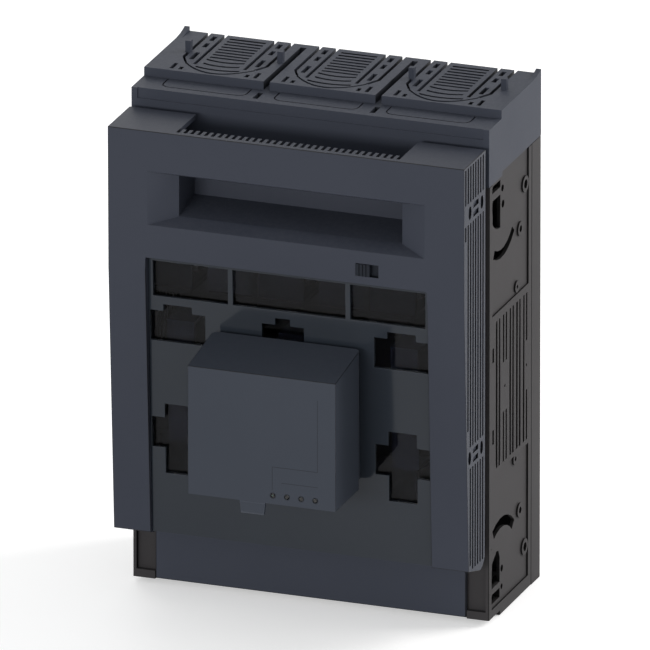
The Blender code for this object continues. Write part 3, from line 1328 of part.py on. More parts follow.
def inspection_window():
    """Smoked clear pane behind the carrier plate that closes its openings."""
    pane = bmesh.new()
    offset = -CARRIER_THICKNESS - GAP - WINDOW_THICKNESS
    sloped_plate(pane, WINDOW_HALF - GAP, (HANDLE_BOTTOM, WINDOW_TOP - GAP), offset, WINDOW_THICKNESS)
    item = piece("inspection_window", pane, "smoked_clear_plastic", Model.handle)
    holes = bmesh.new()
    monitor_passages(holes, (HANDLE_FOOT_FRONT - 4 * CARRIER_THICKNESS, HANDLE_FRONT))
    cut(item, "holes", holes)


def pane_back(height):
    """Return the depth of the pane's back face at a height."""
    return carrier_front(height) - CARRIER_THICKNESS - GAP - WINDOW_THICKNESS


def fuse_gripper(name, x):
    """Clip behind the carrier plate that grips the two lugs of a fuse."""
    low, high = FUSE_CENTRE - GRIPPER_HALF, FUSE_CENTRE + GRIPPER_HALF
    t = GRIPPER_THICKNESS
    base_low = pane_back(low) - GAP
    base_high = pane_back(high) - GAP
    tip = GRIPPER_TIP_DEPTH
    hook = GRIPPER_HOOK
    outline = [
        (base_low, low), (base_high, high), (tip, high), (tip, high - t - hook),
        (tip + t, high - t - hook), (tip + t, high - t), (base_high - t, high - t), (base_low - t, low + t),
        (tip + t, low + t), (tip + t, low + t + hook), (tip, low + t + hook), (tip, low),
    ]
    clip = bmesh.new()
    along_x(clip, outline, span(x, GRIPPER_WIDTH))
    piece(name, clip, "grey_plastic", Model.handle)


def foot_ranges():
    """Return the half width and the height range of the monitor's foot."""
    return MONITOR_HALF - FOOT_INSET, (MONITOR_BOTTOM + FOOT_INSET, MONITOR_BACK_TOP - FOOT_INSET)


def screw_places():
    """Return the X and height of each screw that fixes the monitor."""
    half, (low, high) = foot_ranges()
    heights = (low + SCREW_INSET, high - SCREW_INSET)
    return [(side * (half - SCREW_INSET), height) for side in SIDES for height in heights]


def monitor_base():
    """Foot of the fuse monitor: a shallow tray on the carrier plate, set back behind the box."""
    half, (low, high) = foot_ranges()
    front = MONITOR_BACK + MONITOR_WALL
    body = bmesh.new()
    back_edge = [(carrier_front(low) + GAP, low), (carrier_front(high) + GAP, high)]
    along_x(body, [back_edge[0], (front, low), (front, high), back_edge[1]], (-half, half))
    item = piece("monitor_base", body, "grey_plastic", Model.handle)
    room = bmesh.new()
    wall = MONITOR_WALL
    floor = carrier_front(high) + GAP + FOOT_FLOOR
    block(room, (-half + wall, half - wall), (floor, front + CUT_OVER), (low + wall, high - wall))
    cut(item, "room", room)
    holes = bmesh.new()
    monitor_passages(holes, (HANDLE_FOOT_FRONT - CARRIER_THICKNESS, front + CUT_OVER))
    cut(item, "holes", holes)


def monitor_outline(inset):
    """Return the monitor box's side outline as depth and height points."""
    slope = (MONITOR_BACK_TOP - MONITOR_FRONT_TOP) / (MONITOR_FRONT - MONITOR_BACK)
    front = MONITOR_FRONT - inset
    back = MONITOR_BACK - (CUT_OVER if inset else 0)
    low = MONITOR_BOTTOM + inset
    top = [(depth, MONITOR_BACK_TOP - slope * (depth - MONITOR_BACK) - inset) for depth in (front, back)]
    return [(back, low), (front, low)] + top


def monitor_housing():
    """Box of the fuse monitor, open at its back, with four lamp holes in its face."""
    body = bmesh.new()
    along_x(body, monitor_outline(0), (-MONITOR_HALF, MONITOR_HALF))
    item = piece("monitor_housing", body, "blue_grey_plastic", Model.handle)
    corners = bmesh.new()
    for side in SIDES:
        outside = side * (MONITOR_HALF + CUT_OVER)
        behind = MONITOR_BACK - CUT_OVER
        centre = (side * (MONITOR_HALF - MONITOR_CORNER), MONITOR_BACK + MONITOR_CORNER)
        turn = arc(centre, MONITOR_CORNER, 0.75, 0.75 + side * 0.25, 4)
        outline = [(outside, behind), (centre[0], behind)] + turn + [(outside, centre[1])]
        along_z(corners, outline, (MONITOR_BOTTOM - CUT_OVER, MONITOR_BACK_TOP + CUT_OVER))
    cut(item, "corners", corners)
    room = bmesh.new()
    inner = MONITOR_HALF - MONITOR_WALL
    along_x(room, monitor_outline(MONITOR_WALL), (-inner, inner))
    cut(item, "room", room)
    holes = bmesh.new()
    through = (MONITOR_FRONT - 2 * MONITOR_WALL, MONITOR_FRONT + CUT_OVER)
    for x in lamp_positions():
        along_depth(holes, circle((x, LAMP_HEIGHT), LAMP_RADIUS + GAP, 10), through)
    cut(item, "lamp_holes", holes)


def lamp_positions():
    """Return the X positions of the status lamps."""
    return [LAMP_FIRST + index * LAMP_PITCH for index in range(LAMP_COUNT)]


def monitor_board():
    """Circuit board of the monitor with its larger components."""
    board = bmesh.new()
    half = MONITOR_HALF - MONITOR_WALL - GAP
    low, high = MONITOR_BOTTOM + MONITOR_WALL + GAP, MONITOR_FRONT_TOP - MONITOR_WALL
    depth_range = (BOARD_DEPTH, BOARD_DEPTH + BOARD_THICKNESS)
    block(board, (-half, half), depth_range, (low, high))
    item = piece("monitor_board", board, "circuit_board", Model.handle)
    parts = bmesh.new()
    middle = (low + high) / 2
    front = depth_range[1] - BOARD_THICKNESS / 2
    back = depth_range[0] + BOARD_THICKNESS / 2
    in_front = (front, front + CHIP_HEIGHT)
    behind = (back - CAPACITOR_HEIGHT, back)
    block(parts, span(-TRANSFORMER_OFFSET, TRANSFORMER_SIDE), in_front, span(middle, TRANSFORMER_SIDE))
    block(parts, span(CHIP_OFFSET, CHIP_SIDE), in_front, span(middle + CHIP_OFFSET, CHIP_SIDE))
    block(parts, span(0, CONNECTOR_LENGTH), behind, (low + GAP, low + CONNECTOR_SIDE))
    for index in range(CAPACITORS):
        along_depth(parts, circle((index * CAPACITOR_PITCH, middle), CAPACITOR_RADIUS, 10), behind)
    join(item, "parts", parts)


def light_guide():
    """Clear moulding with one rod behind each lamp hole and a bar that joins them."""
    lamps = lamp_positions()
    low, high = LAMP_HEIGHT - LAMP_RADIUS, LAMP_HEIGHT + LAMP_RADIUS
    back = BOARD_DEPTH + BOARD_THICKNESS + GAP
    bar = bmesh.new()
    ends = (lamps[0] - 2 * LAMP_RADIUS, lamps[-1] + 2 * LAMP_RADIUS)
    block(bar, ends, (back, back + 2 * LAMP_RADIUS), (low, high))
    item = piece("light_guide", bar, "clear_light_guide", Model.handle)
    rods = bmesh.new()
    for x in lamps:
        outline = circle((x, LAMP_HEIGHT), LAMP_RADIUS - LAMP_DRAFT, 10)
        along_depth(rods, outline, (back + LAMP_RADIUS, MONITOR_FRONT))
    join(item, "rods", rods)


def monitor_screw(name, x, height):
    """Screw that holds the monitor's foot to the carrier plate."""
    seat = pane_back(height - SCREW_HEAD_RADIUS) - GAP
    head = bmesh.new()
    along_depth(head, circle((x, height), SCREW_HEAD_RADIUS, 10), (seat - SCREW_HEAD_HEIGHT, seat))
    item = piece(name, head, "zinc_steel", Model.handle)
    shank = bmesh.new()
    tip = carrier_front(height) + FOOT_FLOOR
    along_depth(shank, circle((x, height), SCREW_RADIUS, 10), (seat - SCREW_HEAD_HEIGHT / 2, tip))
    join(item, "shank", shank)


def lock_slider():
    """Sliding lock: a ridged knob on a plate behind the handle unit's front wall."""
    travel_room = LOCK_RIGHT - LOCK_LEFT - LOCK_TRAVEL - 2 * GAP
    left = LOCK_LEFT + GAP
    knob_x = (left, left + travel_room)
    knob_z = (LOCK_BOTTOM + GAP, LOCK_TOP - GAP)
    wall_back = handle_front(LOCK_BOTTOM) - HANDLE_WALL
    plate_front = wall_back - GAP
    knob_front = handle_front(LOCK_BOTTOM) + LOCK_PROUD
    body = bmesh.new()
    block(body, knob_x, (plate_front - LOCK_PLATE, knob_front), knob_z)
    item = piece("lock_slider", body, "blue_grey_plastic", Model.handle)
    plate = bmesh.new()
    reach = (LOCK_LEFT - LOCK_TRAVEL - LOCK_PLATE_OVER, LOCK_RIGHT + LOCK_PLATE_OVER)
    plate_z = (LOCK_BOTTOM - LOCK_PLATE_OVER, LOCK_TOP + LOCK_PLATE_OVER)
    block(plate, reach, (plate_front - LOCK_PLATE, plate_front), plate_z)
    join(item, "plate", plate)
    ridges = bmesh.new()
    pitch = travel_room / (LOCK_RIDGES + 1)
    across = (knob_z[0] - CUT_OVER, knob_z[1] + CUT_OVER)
    for index in range(LOCK_RIDGES):
        x = knob_x[0] + (index + 1) * pitch
        block(ridges, span(x, LOCK_PROUD), (knob_front - LOCK_PROUD, knob_front + CUT_OVER), across)
    cut(item, "ridges", ridges)


def base():
    """Build every piece that stays on the mounting plate."""
    rear_base()
    base_housing()
    for number, (pole, x) in enumerate(zip(POLES, POLE_X), start=1):
        for upper, level in ((True, "upper"), (False, "lower")):
            contact(f"contact_{level}_{number}", x, upper)
            jaw_spring(f"jaw_spring_{level}_{number}", x, upper)
            touch_guard(f"touch_guard_{level}_{number}", pole, x, upper)
            contact_screw(f"contact_screw_{level}_{number}", x, upper)
            terminal_bolt(f"terminal_bolt_{level}_{number}", x, upper)
        arc_chute(f"arc_chute_{number}", x)
        deion_stack(f"deion_stack_{number}", x)
    upper_terminal_cover()
    lower_terminal_cover()
    hinge_pins()


def handle_unit():
    """Build every piece that swings with the handle unit."""
    handle_frame()
    fuse_carrier_plate()
    inspection_window()
    for number, x in enumerate(POLE_X, start=1):
        fuse_gripper(f"fuse_gripper_{number}", x)
    monitor_base()
    monitor_housing()
    monitor_board()
    light_guide()
    for number, (x, height) in enumerate(screw_places(), start=1):
        monitor_screw(f"monitor_screw_{number}", x, height)
    lock_slider()


def main():
    """Build the switch."""
    clear_scene()
    Model.root = empty("switch_origin", (0, 0, -HEIGHT / 2))
    hinge = Vector((0, -HINGE_DEPTH, HINGE_HEIGHT))
    Model.handle = empty("handle_hinge", hinge, Model.root)
    base()
    handle_unit()


main()
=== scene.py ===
"""Fuse switch disconnector: looks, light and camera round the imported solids, in metres."""

import json
import logging
import math
from collections.abc import Callable, Iterable
from dataclasses import dataclass, field
from enum import Enum

import bmesh
import bpy
from mathutils import Matrix, Vector
from mathutils.bvhtree import BVHTree

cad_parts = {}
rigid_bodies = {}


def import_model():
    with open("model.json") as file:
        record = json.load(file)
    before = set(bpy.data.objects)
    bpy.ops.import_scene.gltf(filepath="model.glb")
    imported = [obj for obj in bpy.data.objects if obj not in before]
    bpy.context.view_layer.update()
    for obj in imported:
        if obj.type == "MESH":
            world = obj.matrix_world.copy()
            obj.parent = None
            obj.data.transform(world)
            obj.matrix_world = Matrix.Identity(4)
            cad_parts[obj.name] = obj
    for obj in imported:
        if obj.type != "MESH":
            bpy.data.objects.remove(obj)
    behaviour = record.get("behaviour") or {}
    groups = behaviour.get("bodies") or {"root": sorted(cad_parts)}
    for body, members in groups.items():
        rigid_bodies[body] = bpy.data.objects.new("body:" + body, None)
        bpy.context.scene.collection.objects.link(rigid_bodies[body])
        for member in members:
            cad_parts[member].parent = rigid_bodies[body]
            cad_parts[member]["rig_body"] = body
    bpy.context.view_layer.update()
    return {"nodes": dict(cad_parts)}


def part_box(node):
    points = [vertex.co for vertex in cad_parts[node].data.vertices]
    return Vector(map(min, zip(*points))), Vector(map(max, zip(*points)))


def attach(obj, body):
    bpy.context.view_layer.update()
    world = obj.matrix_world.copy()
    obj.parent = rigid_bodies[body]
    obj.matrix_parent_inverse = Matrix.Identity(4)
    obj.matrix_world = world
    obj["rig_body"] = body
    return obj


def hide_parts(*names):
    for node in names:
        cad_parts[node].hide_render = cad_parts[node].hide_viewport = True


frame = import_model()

LOG = logging.getLogger("switch")
Colour = tuple[float, float, float]
Reach = tuple[float, float]
WHITE = (1.0, 1.0, 1.0)

# Limits for copying the solids' meshes, angles in degrees
MERGE_WITHIN = 0.000002
FLAT_TURN = 0.3
SMOOTH_TURN = 35.0
SAME_PLANE = 0.99999
NEGLIGIBLE = 1e-12

# Sockets of the Mix node when it mixes colours
MIX_SHARE, MIX_FIRST, MIX_SECOND = 0, 6, 7
MIX_RESULT = 2

# Places on the monitor, worked out from its nodes
HOUSING_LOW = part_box("monitor_housing")[0]
GUIDE_LOW, GUIDE_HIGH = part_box("light_guide")
LAMP_COUNT = 4
LAMP_RADIUS = (GUIDE_HIGH.z - GUIDE_LOW.z) / 2
LAMP_HEIGHT = (GUIDE_HIGH.z + GUIDE_LOW.z) / 2
LAMP_FIRST = GUIDE_LOW.x + 2 * LAMP_RADIUS
LAMP_LAST = GUIDE_HIGH.x - 2 * LAMP_RADIUS
LAMP_PITCH = (LAMP_LAST - LAMP_FIRST) / (LAMP_COUNT - 1)
LAMP_PLACES = [(LAMP_FIRST + LAMP_PITCH * number, LAMP_HEIGHT) for number in range(LAMP_COUNT)]
LAMP_RING = LAMP_RADIUS + 0.00055

# Lines of the bare label, each a range across and a range upwards
LABEL_DEPTH = HOUSING_LOW.y + 0.0005
LABEL_LEFT = LAMP_FIRST - 0.0003
LABEL_STEP = LABEL_LEFT + 0.0056
LABEL_RIGHT = LAMP_LAST + 0.0013
LABEL_FOOT = LAMP_HEIGHT + 0.00325
LABEL_MIDDLE = LABEL_FOOT + 0.0047
LABEL_SHOULDER = LABEL_FOOT + 0.0136
LABEL_TOP = LABEL_SHOULDER + 0.0420
LABEL_LINES = (
    ((LABEL_LEFT, LABEL_LEFT), (LABEL_FOOT, LABEL_SHOULDER)),
    ((LABEL_LEFT, LABEL_RIGHT), (LABEL_SHOULDER, LABEL_SHOULDER)),
    ((LABEL_STEP, LABEL_RIGHT), (LABEL_MIDDLE, LABEL_MIDDLE)),
    ((LABEL_RIGHT, LABEL_RIGHT), (LABEL_SHOULDER, LABEL_TOP)),
)

FLOOR_HEIGHT = min(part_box(node)[0].z for node in frame["nodes"])


class Slot(Enum):
    """Material slots of the record."""

    BASE = "black_brown_plastic"
    COVER = "blue_grey_plastic"
    GREY = "grey_plastic"
    PANE = "smoked_clear_plastic"
    CONTACT = "silvered_copper"
    SPRING = "spring_steel"
    ZINC = "zinc_steel"
    BOARD = "circuit_board"
    LIGHT_GUIDE = "clear_light_guide"


class Body(Enum):
    """Bodies of the record that the pieces ride on."""

    BASE = "base"
    HANDLE = "handle_unit"
    SLIDER = "lock_slider"


class Sheet:
    """A node tree that is being wired."""

    def __init__(self, tree: bpy.types.NodeTree) -> None:
        """Take the tree and empty it."""
        self.tree = tree
        tree.nodes.clear()

    def add(self, kind: str, inputs: dict | None = None, **settings: object) -> bpy.types.Node:
        """Add one node.

        Args:
            kind: Name of the node type, without the leading ShaderNode.
            inputs: Values or output sockets for the node's inputs, by name or number.
            settings: Properties of the node.

        Returns:
            The new node.
        """
        name = kind if kind.startswith("Node") else "ShaderNode" + kind
        node = self.tree.nodes.new(name)
        for key, value in settings.items():
            setattr(node, key, value)
        self.feed(node, inputs or {})
        return node

    def feed(self, node: bpy.types.Node, inputs: dict) -> None:
        """Give a node's inputs their values or links.

        Args:
            node: The node.
            inputs: Values or output sockets for its inputs, by name or number.
        """
        for key, value in inputs.items():
            if isinstance(value, bpy.types.NodeSocket):
                self.tree.links.new(value, node.inputs[key])
            else:
                node.inputs[key].default_value = value

    def maths(self, operation: str, first: object, second: object = 0.0) -> bpy.types.NodeSocket:
        """Return the result of one sum on two values or sockets."""
        return self.add("Math", {0: first, 1: second}, operation=operation).outputs[0]

    def ranged(
        self, value: object, low: float = 0.0, high: float = 1.0, start: float = 0.0, end: float = 1.0,
    ) -> bpy.types.NodeSocket:
        """Return a value moved from the range low to high to the range start to end, and held inside it."""
        numbers = {"Value": value, "From Min": low, "From Max": high, "To Min": start, "To Max": end}
        return self.add("MapRange", numbers).outputs[0]

    def mix(self, share: object, first: object, second: object, blend: str = "MIX") -> bpy.types.NodeSocket:
        """Return a mix of two colours.

        Args:
            share: How much of the second colour shows, as a value or socket.
            first: The lower colour.
            second: The upper colour.
            blend: How the upper colour is laid on.

        Returns:
            The socket of the mixed colour.
        """
        given = {MIX_SHARE: share, MIX_FIRST: first, MIX_SECOND: second}
        inputs = {key: (*value, 1.0) if isinstance(value, tuple) else value for key, value in given.items()}
        node = self.add("Mix", data_type="RGBA", blend_type=blend)
        self.feed(node, inputs)
        return node.outputs[MIX_RESULT]


class Effects:
    """Node groups that several finishes share, each built once.

    Attributes:
        recess_range: Hidden share past its start at which the painted shade of a recess is darkest.
    """

    _made: dict[str, bpy.types.NodeTree] = {}
    recess_range = 0.35

    @classmethod
    def _group(cls, name: str, inputs: Iterable[str], outputs: Iterable[str]) -> tuple[Sheet, bpy.types.Node]:
        """Start a group with a vector and named values as its inputs, and values as its outputs.

        Args:
            name: Name of the group.
            inputs: Names of the values that it takes besides the vector.
            outputs: Names of the values that it puts out.

        Returns:
            The group's node tree and its input node.
        """
        tree = bpy.data.node_groups.new(name, "ShaderNodeTree")
        tree.interface.new_socket("Vector", in_out="INPUT", socket_type="NodeSocketVector")
        for label in inputs:
            tree.interface.new_socket(label, in_out="INPUT", socket_type="NodeSocketFloat")
        for label in outputs:
            tree.interface.new_socket(label, in_out="OUTPUT", socket_type="NodeSocketFloat")
        cls._made[name] = tree
        sheet = Sheet(tree)
        return sheet, sheet.add("NodeGroupInput")

    @classmethod
    def moulded_grain(cls) -> bpy.types.NodeTree:
        """Make the fine texture of a spark-eroded mould and the faint cloudiness of its plastic.

        Returns:
            The group, which puts out Height and Tone.
        """
        if "moulded_grain" not in cls._made:
            sheet, given = cls._group("moulded_grain", ("Grain", "Cloud"), ("Height", "Tone"))
            vector = given.outputs["Vector"]
            pits = {"Vector": vector, "Scale": given.outputs["Grain"], "Detail": 3.0, "Roughness": 0.6}
            fine = sheet.add("TexNoise", pits).outputs["Fac"]
            broad = {"Vector": vector, "Scale": given.outputs["Cloud"], "Detail": 4.0, "Roughness": 0.55}
            cloud = sheet.add("TexNoise", broad).outputs["Fac"]
            tone = sheet.ranged(cloud, low=0.32, high=0.68)
            speck = sheet.ranged(fine, low=0.35, high=0.65, start=-0.25, end=0.25)
            sheet.add("NodeGroupOutput", {"Height": fine, "Tone": sheet.maths("ADD", tone, speck)})
        return cls._made["moulded_grain"]

    @classmethod
    def edge_wear_and_highlight(cls) -> bpy.types.NodeTree:
        """Make a mask of rounded edges, broken up by noise, where the plastic is painted lighter: a painted
        edge highlight that also stands for wear.

        Returns:
            The group, which puts out Mask.
        """
        if "edge_wear_and_highlight" not in cls._made:
            sheet, given = cls._group("edge_wear_and_highlight", ("Edge", "Amount"), ("Mask",))
            spots = {"Vector": given.outputs["Vector"], "Scale": 110.0, "Detail": 3.0}
            noise = sheet.add("TexNoise", spots).outputs["Fac"]
            broken = sheet.ranged(noise, low=0.30, high=0.70, start=0.55)
            edge = sheet.maths("MULTIPLY", given.outputs["Edge"], broken)
            sheet.add("NodeGroupOutput", {"Mask": sheet.maths("MULTIPLY", edge, given.outputs["Amount"])})
        return cls._made["edge_wear_and_highlight"]

    @classmethod
    def shaded_recess(cls) -> bpy.types.NodeTree:
        """Make the share of its colour that a surface keeps under painted shade where light seldom reaches
        it.

        Returns:
            The group, which puts out Share.
        """
        if "shaded_recess" not in cls._made:
            sheet, given = cls._group("shaded_recess", ("Recess", "Start", "Depth"), ("Share",))
            # Noise makes the painted shade a little uneven.
            patchy_shade = {"Vector": given.outputs["Vector"], "Scale": 260.0, "Detail": 3.0}
            noise = sheet.add("TexNoise", patchy_shade).outputs["Fac"]
            uneven = sheet.ranged(noise, low=0.3, high=0.7, start=0.9)
            past = sheet.maths("SUBTRACT", given.outputs["Recess"], given.outputs["Start"])
            hidden = sheet.ranged(past, high=cls.recess_range)
            loss = sheet.maths("MULTIPLY", sheet.maths("MULTIPLY", hidden, uneven), given.outputs["Depth"])
            sheet.add("NodeGroupOutput", {"Share": sheet.maths("SUBTRACT", 1.0, loss)})
        return cls._made["shaded_recess"]

    @classmethod
    def label_lines(cls) -> bpy.types.NodeTree:
        """Make a mask of the thin lines and rings that frame the lamps on the monitor's bare label.

        Returns:
            The group, which puts out Mask.
        """
        if "label_lines" not in cls._made:
            sheet, given = cls._group("label_lines", ("Width",), ("Mask",))
            axes = sheet.add("SeparateXYZ", {0: given.outputs["Vector"]})
            across, up = axes.outputs["X"], axes.outputs["Z"]
            width = given.outputs["Width"]
            total: object = 0.0
            for wide, tall in LABEL_LINES:
                beside, above = cls._beyond(sheet, across, wide), cls._beyond(sheet, up, tall)
                far = sheet.maths("MAXIMUM", beside, above)
                total = sheet.maths("MAXIMUM", total, sheet.maths("LESS_THAN", far, width))
            for x, z in LAMP_PLACES:
                aside, above = sheet.maths("SUBTRACT", across, x), sheet.maths("SUBTRACT", up, z)
                offset = sheet.add("CombineXYZ", {0: aside, 1: above})
                length = sheet.add("VectorMath", {0: offset.outputs[0]}, operation="LENGTH").outputs["Value"]
                rim = sheet.maths("ABSOLUTE", sheet.maths("SUBTRACT", length, LAMP_RING))
                total = sheet.maths("MAXIMUM", total, sheet.maths("LESS_THAN", rim, width))
            front = sheet.maths("LESS_THAN", axes.outputs["Y"], LABEL_DEPTH)
            sheet.add("NodeGroupOutput", {"Mask": sheet.maths("MULTIPLY", total, front)})
        return cls._made["label_lines"]

    @staticmethod
    def _beyond(sheet: Sheet, value: bpy.types.NodeSocket, reach: Reach) -> bpy.types.NodeSocket:
        """Measure how far a value lies outside a range.

        Args:
            sheet: The node tree.
            value: The value.
            reach: Lowest and highest value of the range.

        Returns:
            The socket of the distance, negative inside the range.
        """
        low, high = reach
        off_centre = sheet.maths("ABSOLUTE", sheet.maths("SUBTRACT", value, (low + high) / 2))
        return sheet.maths("SUBTRACT", off_centre, (high - low) / 2)

    @classmethod
    def settled_dust(cls) -> bpy.types.NodeTree:
        """Make a mask of the fine dust that lies on faces that look up.

        Returns:
            The group, which puts out Mask.
        """
        if "settled_dust" not in cls._made:
            sheet, given = cls._group("settled_dust", ("Amount",), ("Mask",))
            normal = sheet.add("NewGeometry").outputs["Normal"]
            upward = sheet.add("SeparateXYZ", {0: normal}).outputs["Z"]
            flat = sheet.ranged(upward, low=0.55, high=0.98)
            patches = {"Vector": given.outputs["Vector"], "Scale": 420.0, "Detail": 6.0, "Roughness": 0.7}
            noise = sheet.add("TexNoise", patches).outputs["Fac"]
            grains = sheet.ranged(noise, low=0.42, high=0.66, start=0.1)
            laid = sheet.maths("MULTIPLY", flat, grains)
            sheet.add("NodeGroupOutput", {"Mask": sheet.maths("MULTIPLY", laid, given.outputs["Amount"])})
        return cls._made["settled_dust"]

    @classmethod
    def drawn_lines(cls) -> bpy.types.NodeTree:
        """Make the fine lines that rolling and stamping leave along a strip of metal.

        Returns:
            The group, which puts out Height and Tone.
        """
        if "drawn_lines" not in cls._made:
            sheet, given = cls._group("drawn_lines", ("Fineness",), ("Height", "Tone"))
            stretch = {"Vector": given.outputs["Vector"], "Scale": (1.0, 1.0, 0.045)}
            along = sheet.add("Mapping", stretch).outputs[0]
            lines = {"Vector": along, "Scale": given.outputs["Fineness"], "Detail": 4.0, "Roughness": 0.65}
            fine = sheet.add("TexNoise", lines).outputs["Fac"]
            stain = {"Vector": given.outputs["Vector"], "Scale": 55.0, "Detail": 5.0, "Roughness": 0.6}
            tarnish = sheet.add("TexNoise", stain).outputs["Fac"]
            tone = sheet.ranged(tarnish, low=0.38, high=0.70)
            sheet.add("NodeGroupOutput", {"Height": fine, "Tone": tone})
        return cls._made["drawn_lines"]


@dataclass(frozen=True)
class Finish:
    """What every finish has: a name, the slot that it stands for and a material made once."""

    name: str
    slot: Slot

    def wire(self, sheet: Sheet, shader: bpy.types.Node) -> None:
        """Lay the finish's own nodes; each kind of finish says how."""
        raise NotImplementedError

    def material(self) -> bpy.types.Material:
        """Make the finish's material on first use.

        Returns:
            The material.
        """
        known = bpy.data.materials.get(self.name)
        if known:
            return known
        material = bpy.data.materials.new(self.name)
        material.use_nodes = True
        sheet = Sheet(material.node_tree)
        shader = sheet.add("BsdfPrincipled")
        sheet.add("OutputMaterial", {"Surface": shader.outputs["BSDF"]})
        self.wire(sheet, shader)
        return material


def place_of(sheet: Sheet) -> bpy.types.NodeSocket:
    """Return the socket of the object coordinates."""
    return sheet.add("TexCoord").outputs["Object"]


def grouped(sheet: Sheet, tree: bpy.types.NodeTree, inputs: dict) -> bpy.types.Node:
    """Place a shared effect in a material with its own values.

    Args:
        sheet: The material's node tree.
        tree: The effect's group.
        inputs: Values or sockets for the group's inputs, by name.

    Returns:
        The group's node.
    """
    node = sheet.add("Group", node_tree=tree)
    sheet.feed(node, inputs)
    return node


@dataclass(frozen=True)
class MouldedPlastic(Finish):
    """Moulded plastic with a fine grain, edges painted lighter as a highlight and as wear, a little dust and
    painted shade in recesses.

    Attributes:
        colour: The plastic's own colour.
        cloudy: Its colour where it is cloudy.
        edge: Its colour on worn edges.
        roughness: Roughness of the plain surface.
        specular: Strength of its gloss.
        grain: Fineness of the mould's texture.
        relief: Depth of that texture.
        wear_and_highlight: How far its edges are worn and painted lighter as a highlight, from 0 to 1.
        dust: How much dust lies on it, from 0 to 1.
        recess: How much painted shade darkens hidden places, from 0 to 1.
        recess_start: Hidden share of the sky past which the painted shade starts.
        label: Half the width of the label's lines, 0 for no label.
        dust_colour: Colour of the dust.
        cloud: Scale of the cloudiness.
        polish: How much smoother the worn, highlighted edges are.
        matting: How much rougher dusty places are.
        line_cover: How far the label's lines cover the plastic.
        line_tone: Brightness of the lines against the plastic.
        spread: How far the roughness varies, down and up.
        bump: Strength of the relief in the shading.
    """

    colour: Colour
    cloudy: Colour
    edge: Colour
    roughness: float = 0.55
    specular: float = 0.35
    grain: float = 1500.0
    relief: float = 0.00006
    wear_and_highlight: float = 0.6
    dust: float = 0.06
    recess: float = 0.85
    recess_start: float = 0.40
    label: float = 0.0
    dust_colour: Colour = (0.30, 0.30, 0.31)
    cloud: float = 14.0
    polish: float = 0.12
    matting: float = 0.25
    line_cover: float = 0.75
    line_tone: float = 0.35
    spread: Reach = (-0.03, 0.04)
    bump: float = 0.5

    def wire(self, sheet: Sheet, shader: bpy.types.Node) -> None:
        """Lay grain, cloudiness, edge wear with a painted edge highlight, dust, painted shade and label lines
        under the shader.

        Args:
            sheet: The material's node tree.
            shader: Its Principled BSDF.
        """
        place = place_of(sheet)
        texture = {"Vector": place, "Grain": self.grain, "Cloud": self.cloud}
        grain = grouped(sheet, Effects.moulded_grain(), texture)
        edge = sheet.add("Attribute", attribute_name="edge").outputs["Fac"]
        worn_and_highlit = grouped(sheet, Effects.edge_wear_and_highlight(), {"Vector": place, "Edge": edge, "Amount": self.wear_and_highlight})
        dusty = grouped(sheet, Effects.settled_dust(), {"Vector": place, "Amount": self.dust})
        tone = grain.outputs["Tone"]
        plain = sheet.mix(tone, self.colour, self.cloudy)
        # Painted shade: recesses darken by how much of the sky near solids hide.
        hidden = sheet.add("Attribute", attribute_name="recess").outputs["Fac"]
        shade = {"Vector": place, "Recess": hidden, "Start": self.recess_start, "Depth": self.recess}
        kept = grouped(sheet, Effects.shaded_recess(), shade).outputs["Share"]
        # Painted highlight along the rounded edges, partly also wear: the lighter edge colour, weakened where
        # painted shade falls.
        rubbed_and_highlit = sheet.mix(sheet.maths("MULTIPLY", worn_and_highlit.outputs["Mask"], kept), plain, self.edge)
        colour = sheet.mix(dusty.outputs["Mask"], rubbed_and_highlit, self.dust_colour)
        # Multiply the whole colour by the share that the painted shade keeps.
        share = sheet.add("CombineColor", {0: kept, 1: kept, 2: kept}).outputs[0]
        colour = sheet.mix(1.0, colour, share, "MULTIPLY")
        height = grain.outputs["Height"]
        if self.label:
            width = {"Vector": place, "Width": self.label}
            lines = grouped(sheet, Effects.label_lines(), width).outputs["Mask"]
            darker = tuple(self.line_tone * value for value in self.colour)
            colour = sheet.mix(sheet.maths("MULTIPLY", lines, self.line_cover), colour, darker)
            height = sheet.maths("SUBTRACT", height, lines)
        sheet.tree.links.new(colour, shader.inputs["Base Color"])
        least, most = (self.roughness + change for change in self.spread)
        rough = sheet.ranged(tone, start=least, end=most)
        smooth = sheet.maths("MULTIPLY", worn_and_highlit.outputs["Mask"], self.polish)
        matt = sheet.maths("MULTIPLY", dusty.outputs["Mask"], self.matting)
        rough = sheet.maths("ADD", sheet.maths("SUBTRACT", rough, smooth), matt)
        sheet.tree.links.new(rough, shader.inputs["Roughness"])
        relief = {"Height": height, "Strength": self.bump, "Distance": self.relief}
        sheet.tree.links.new(sheet.add("Bump", relief).outputs[0], shader.inputs["Normal"])
        shader.inputs["Specular IOR Level"].default_value = self.specular


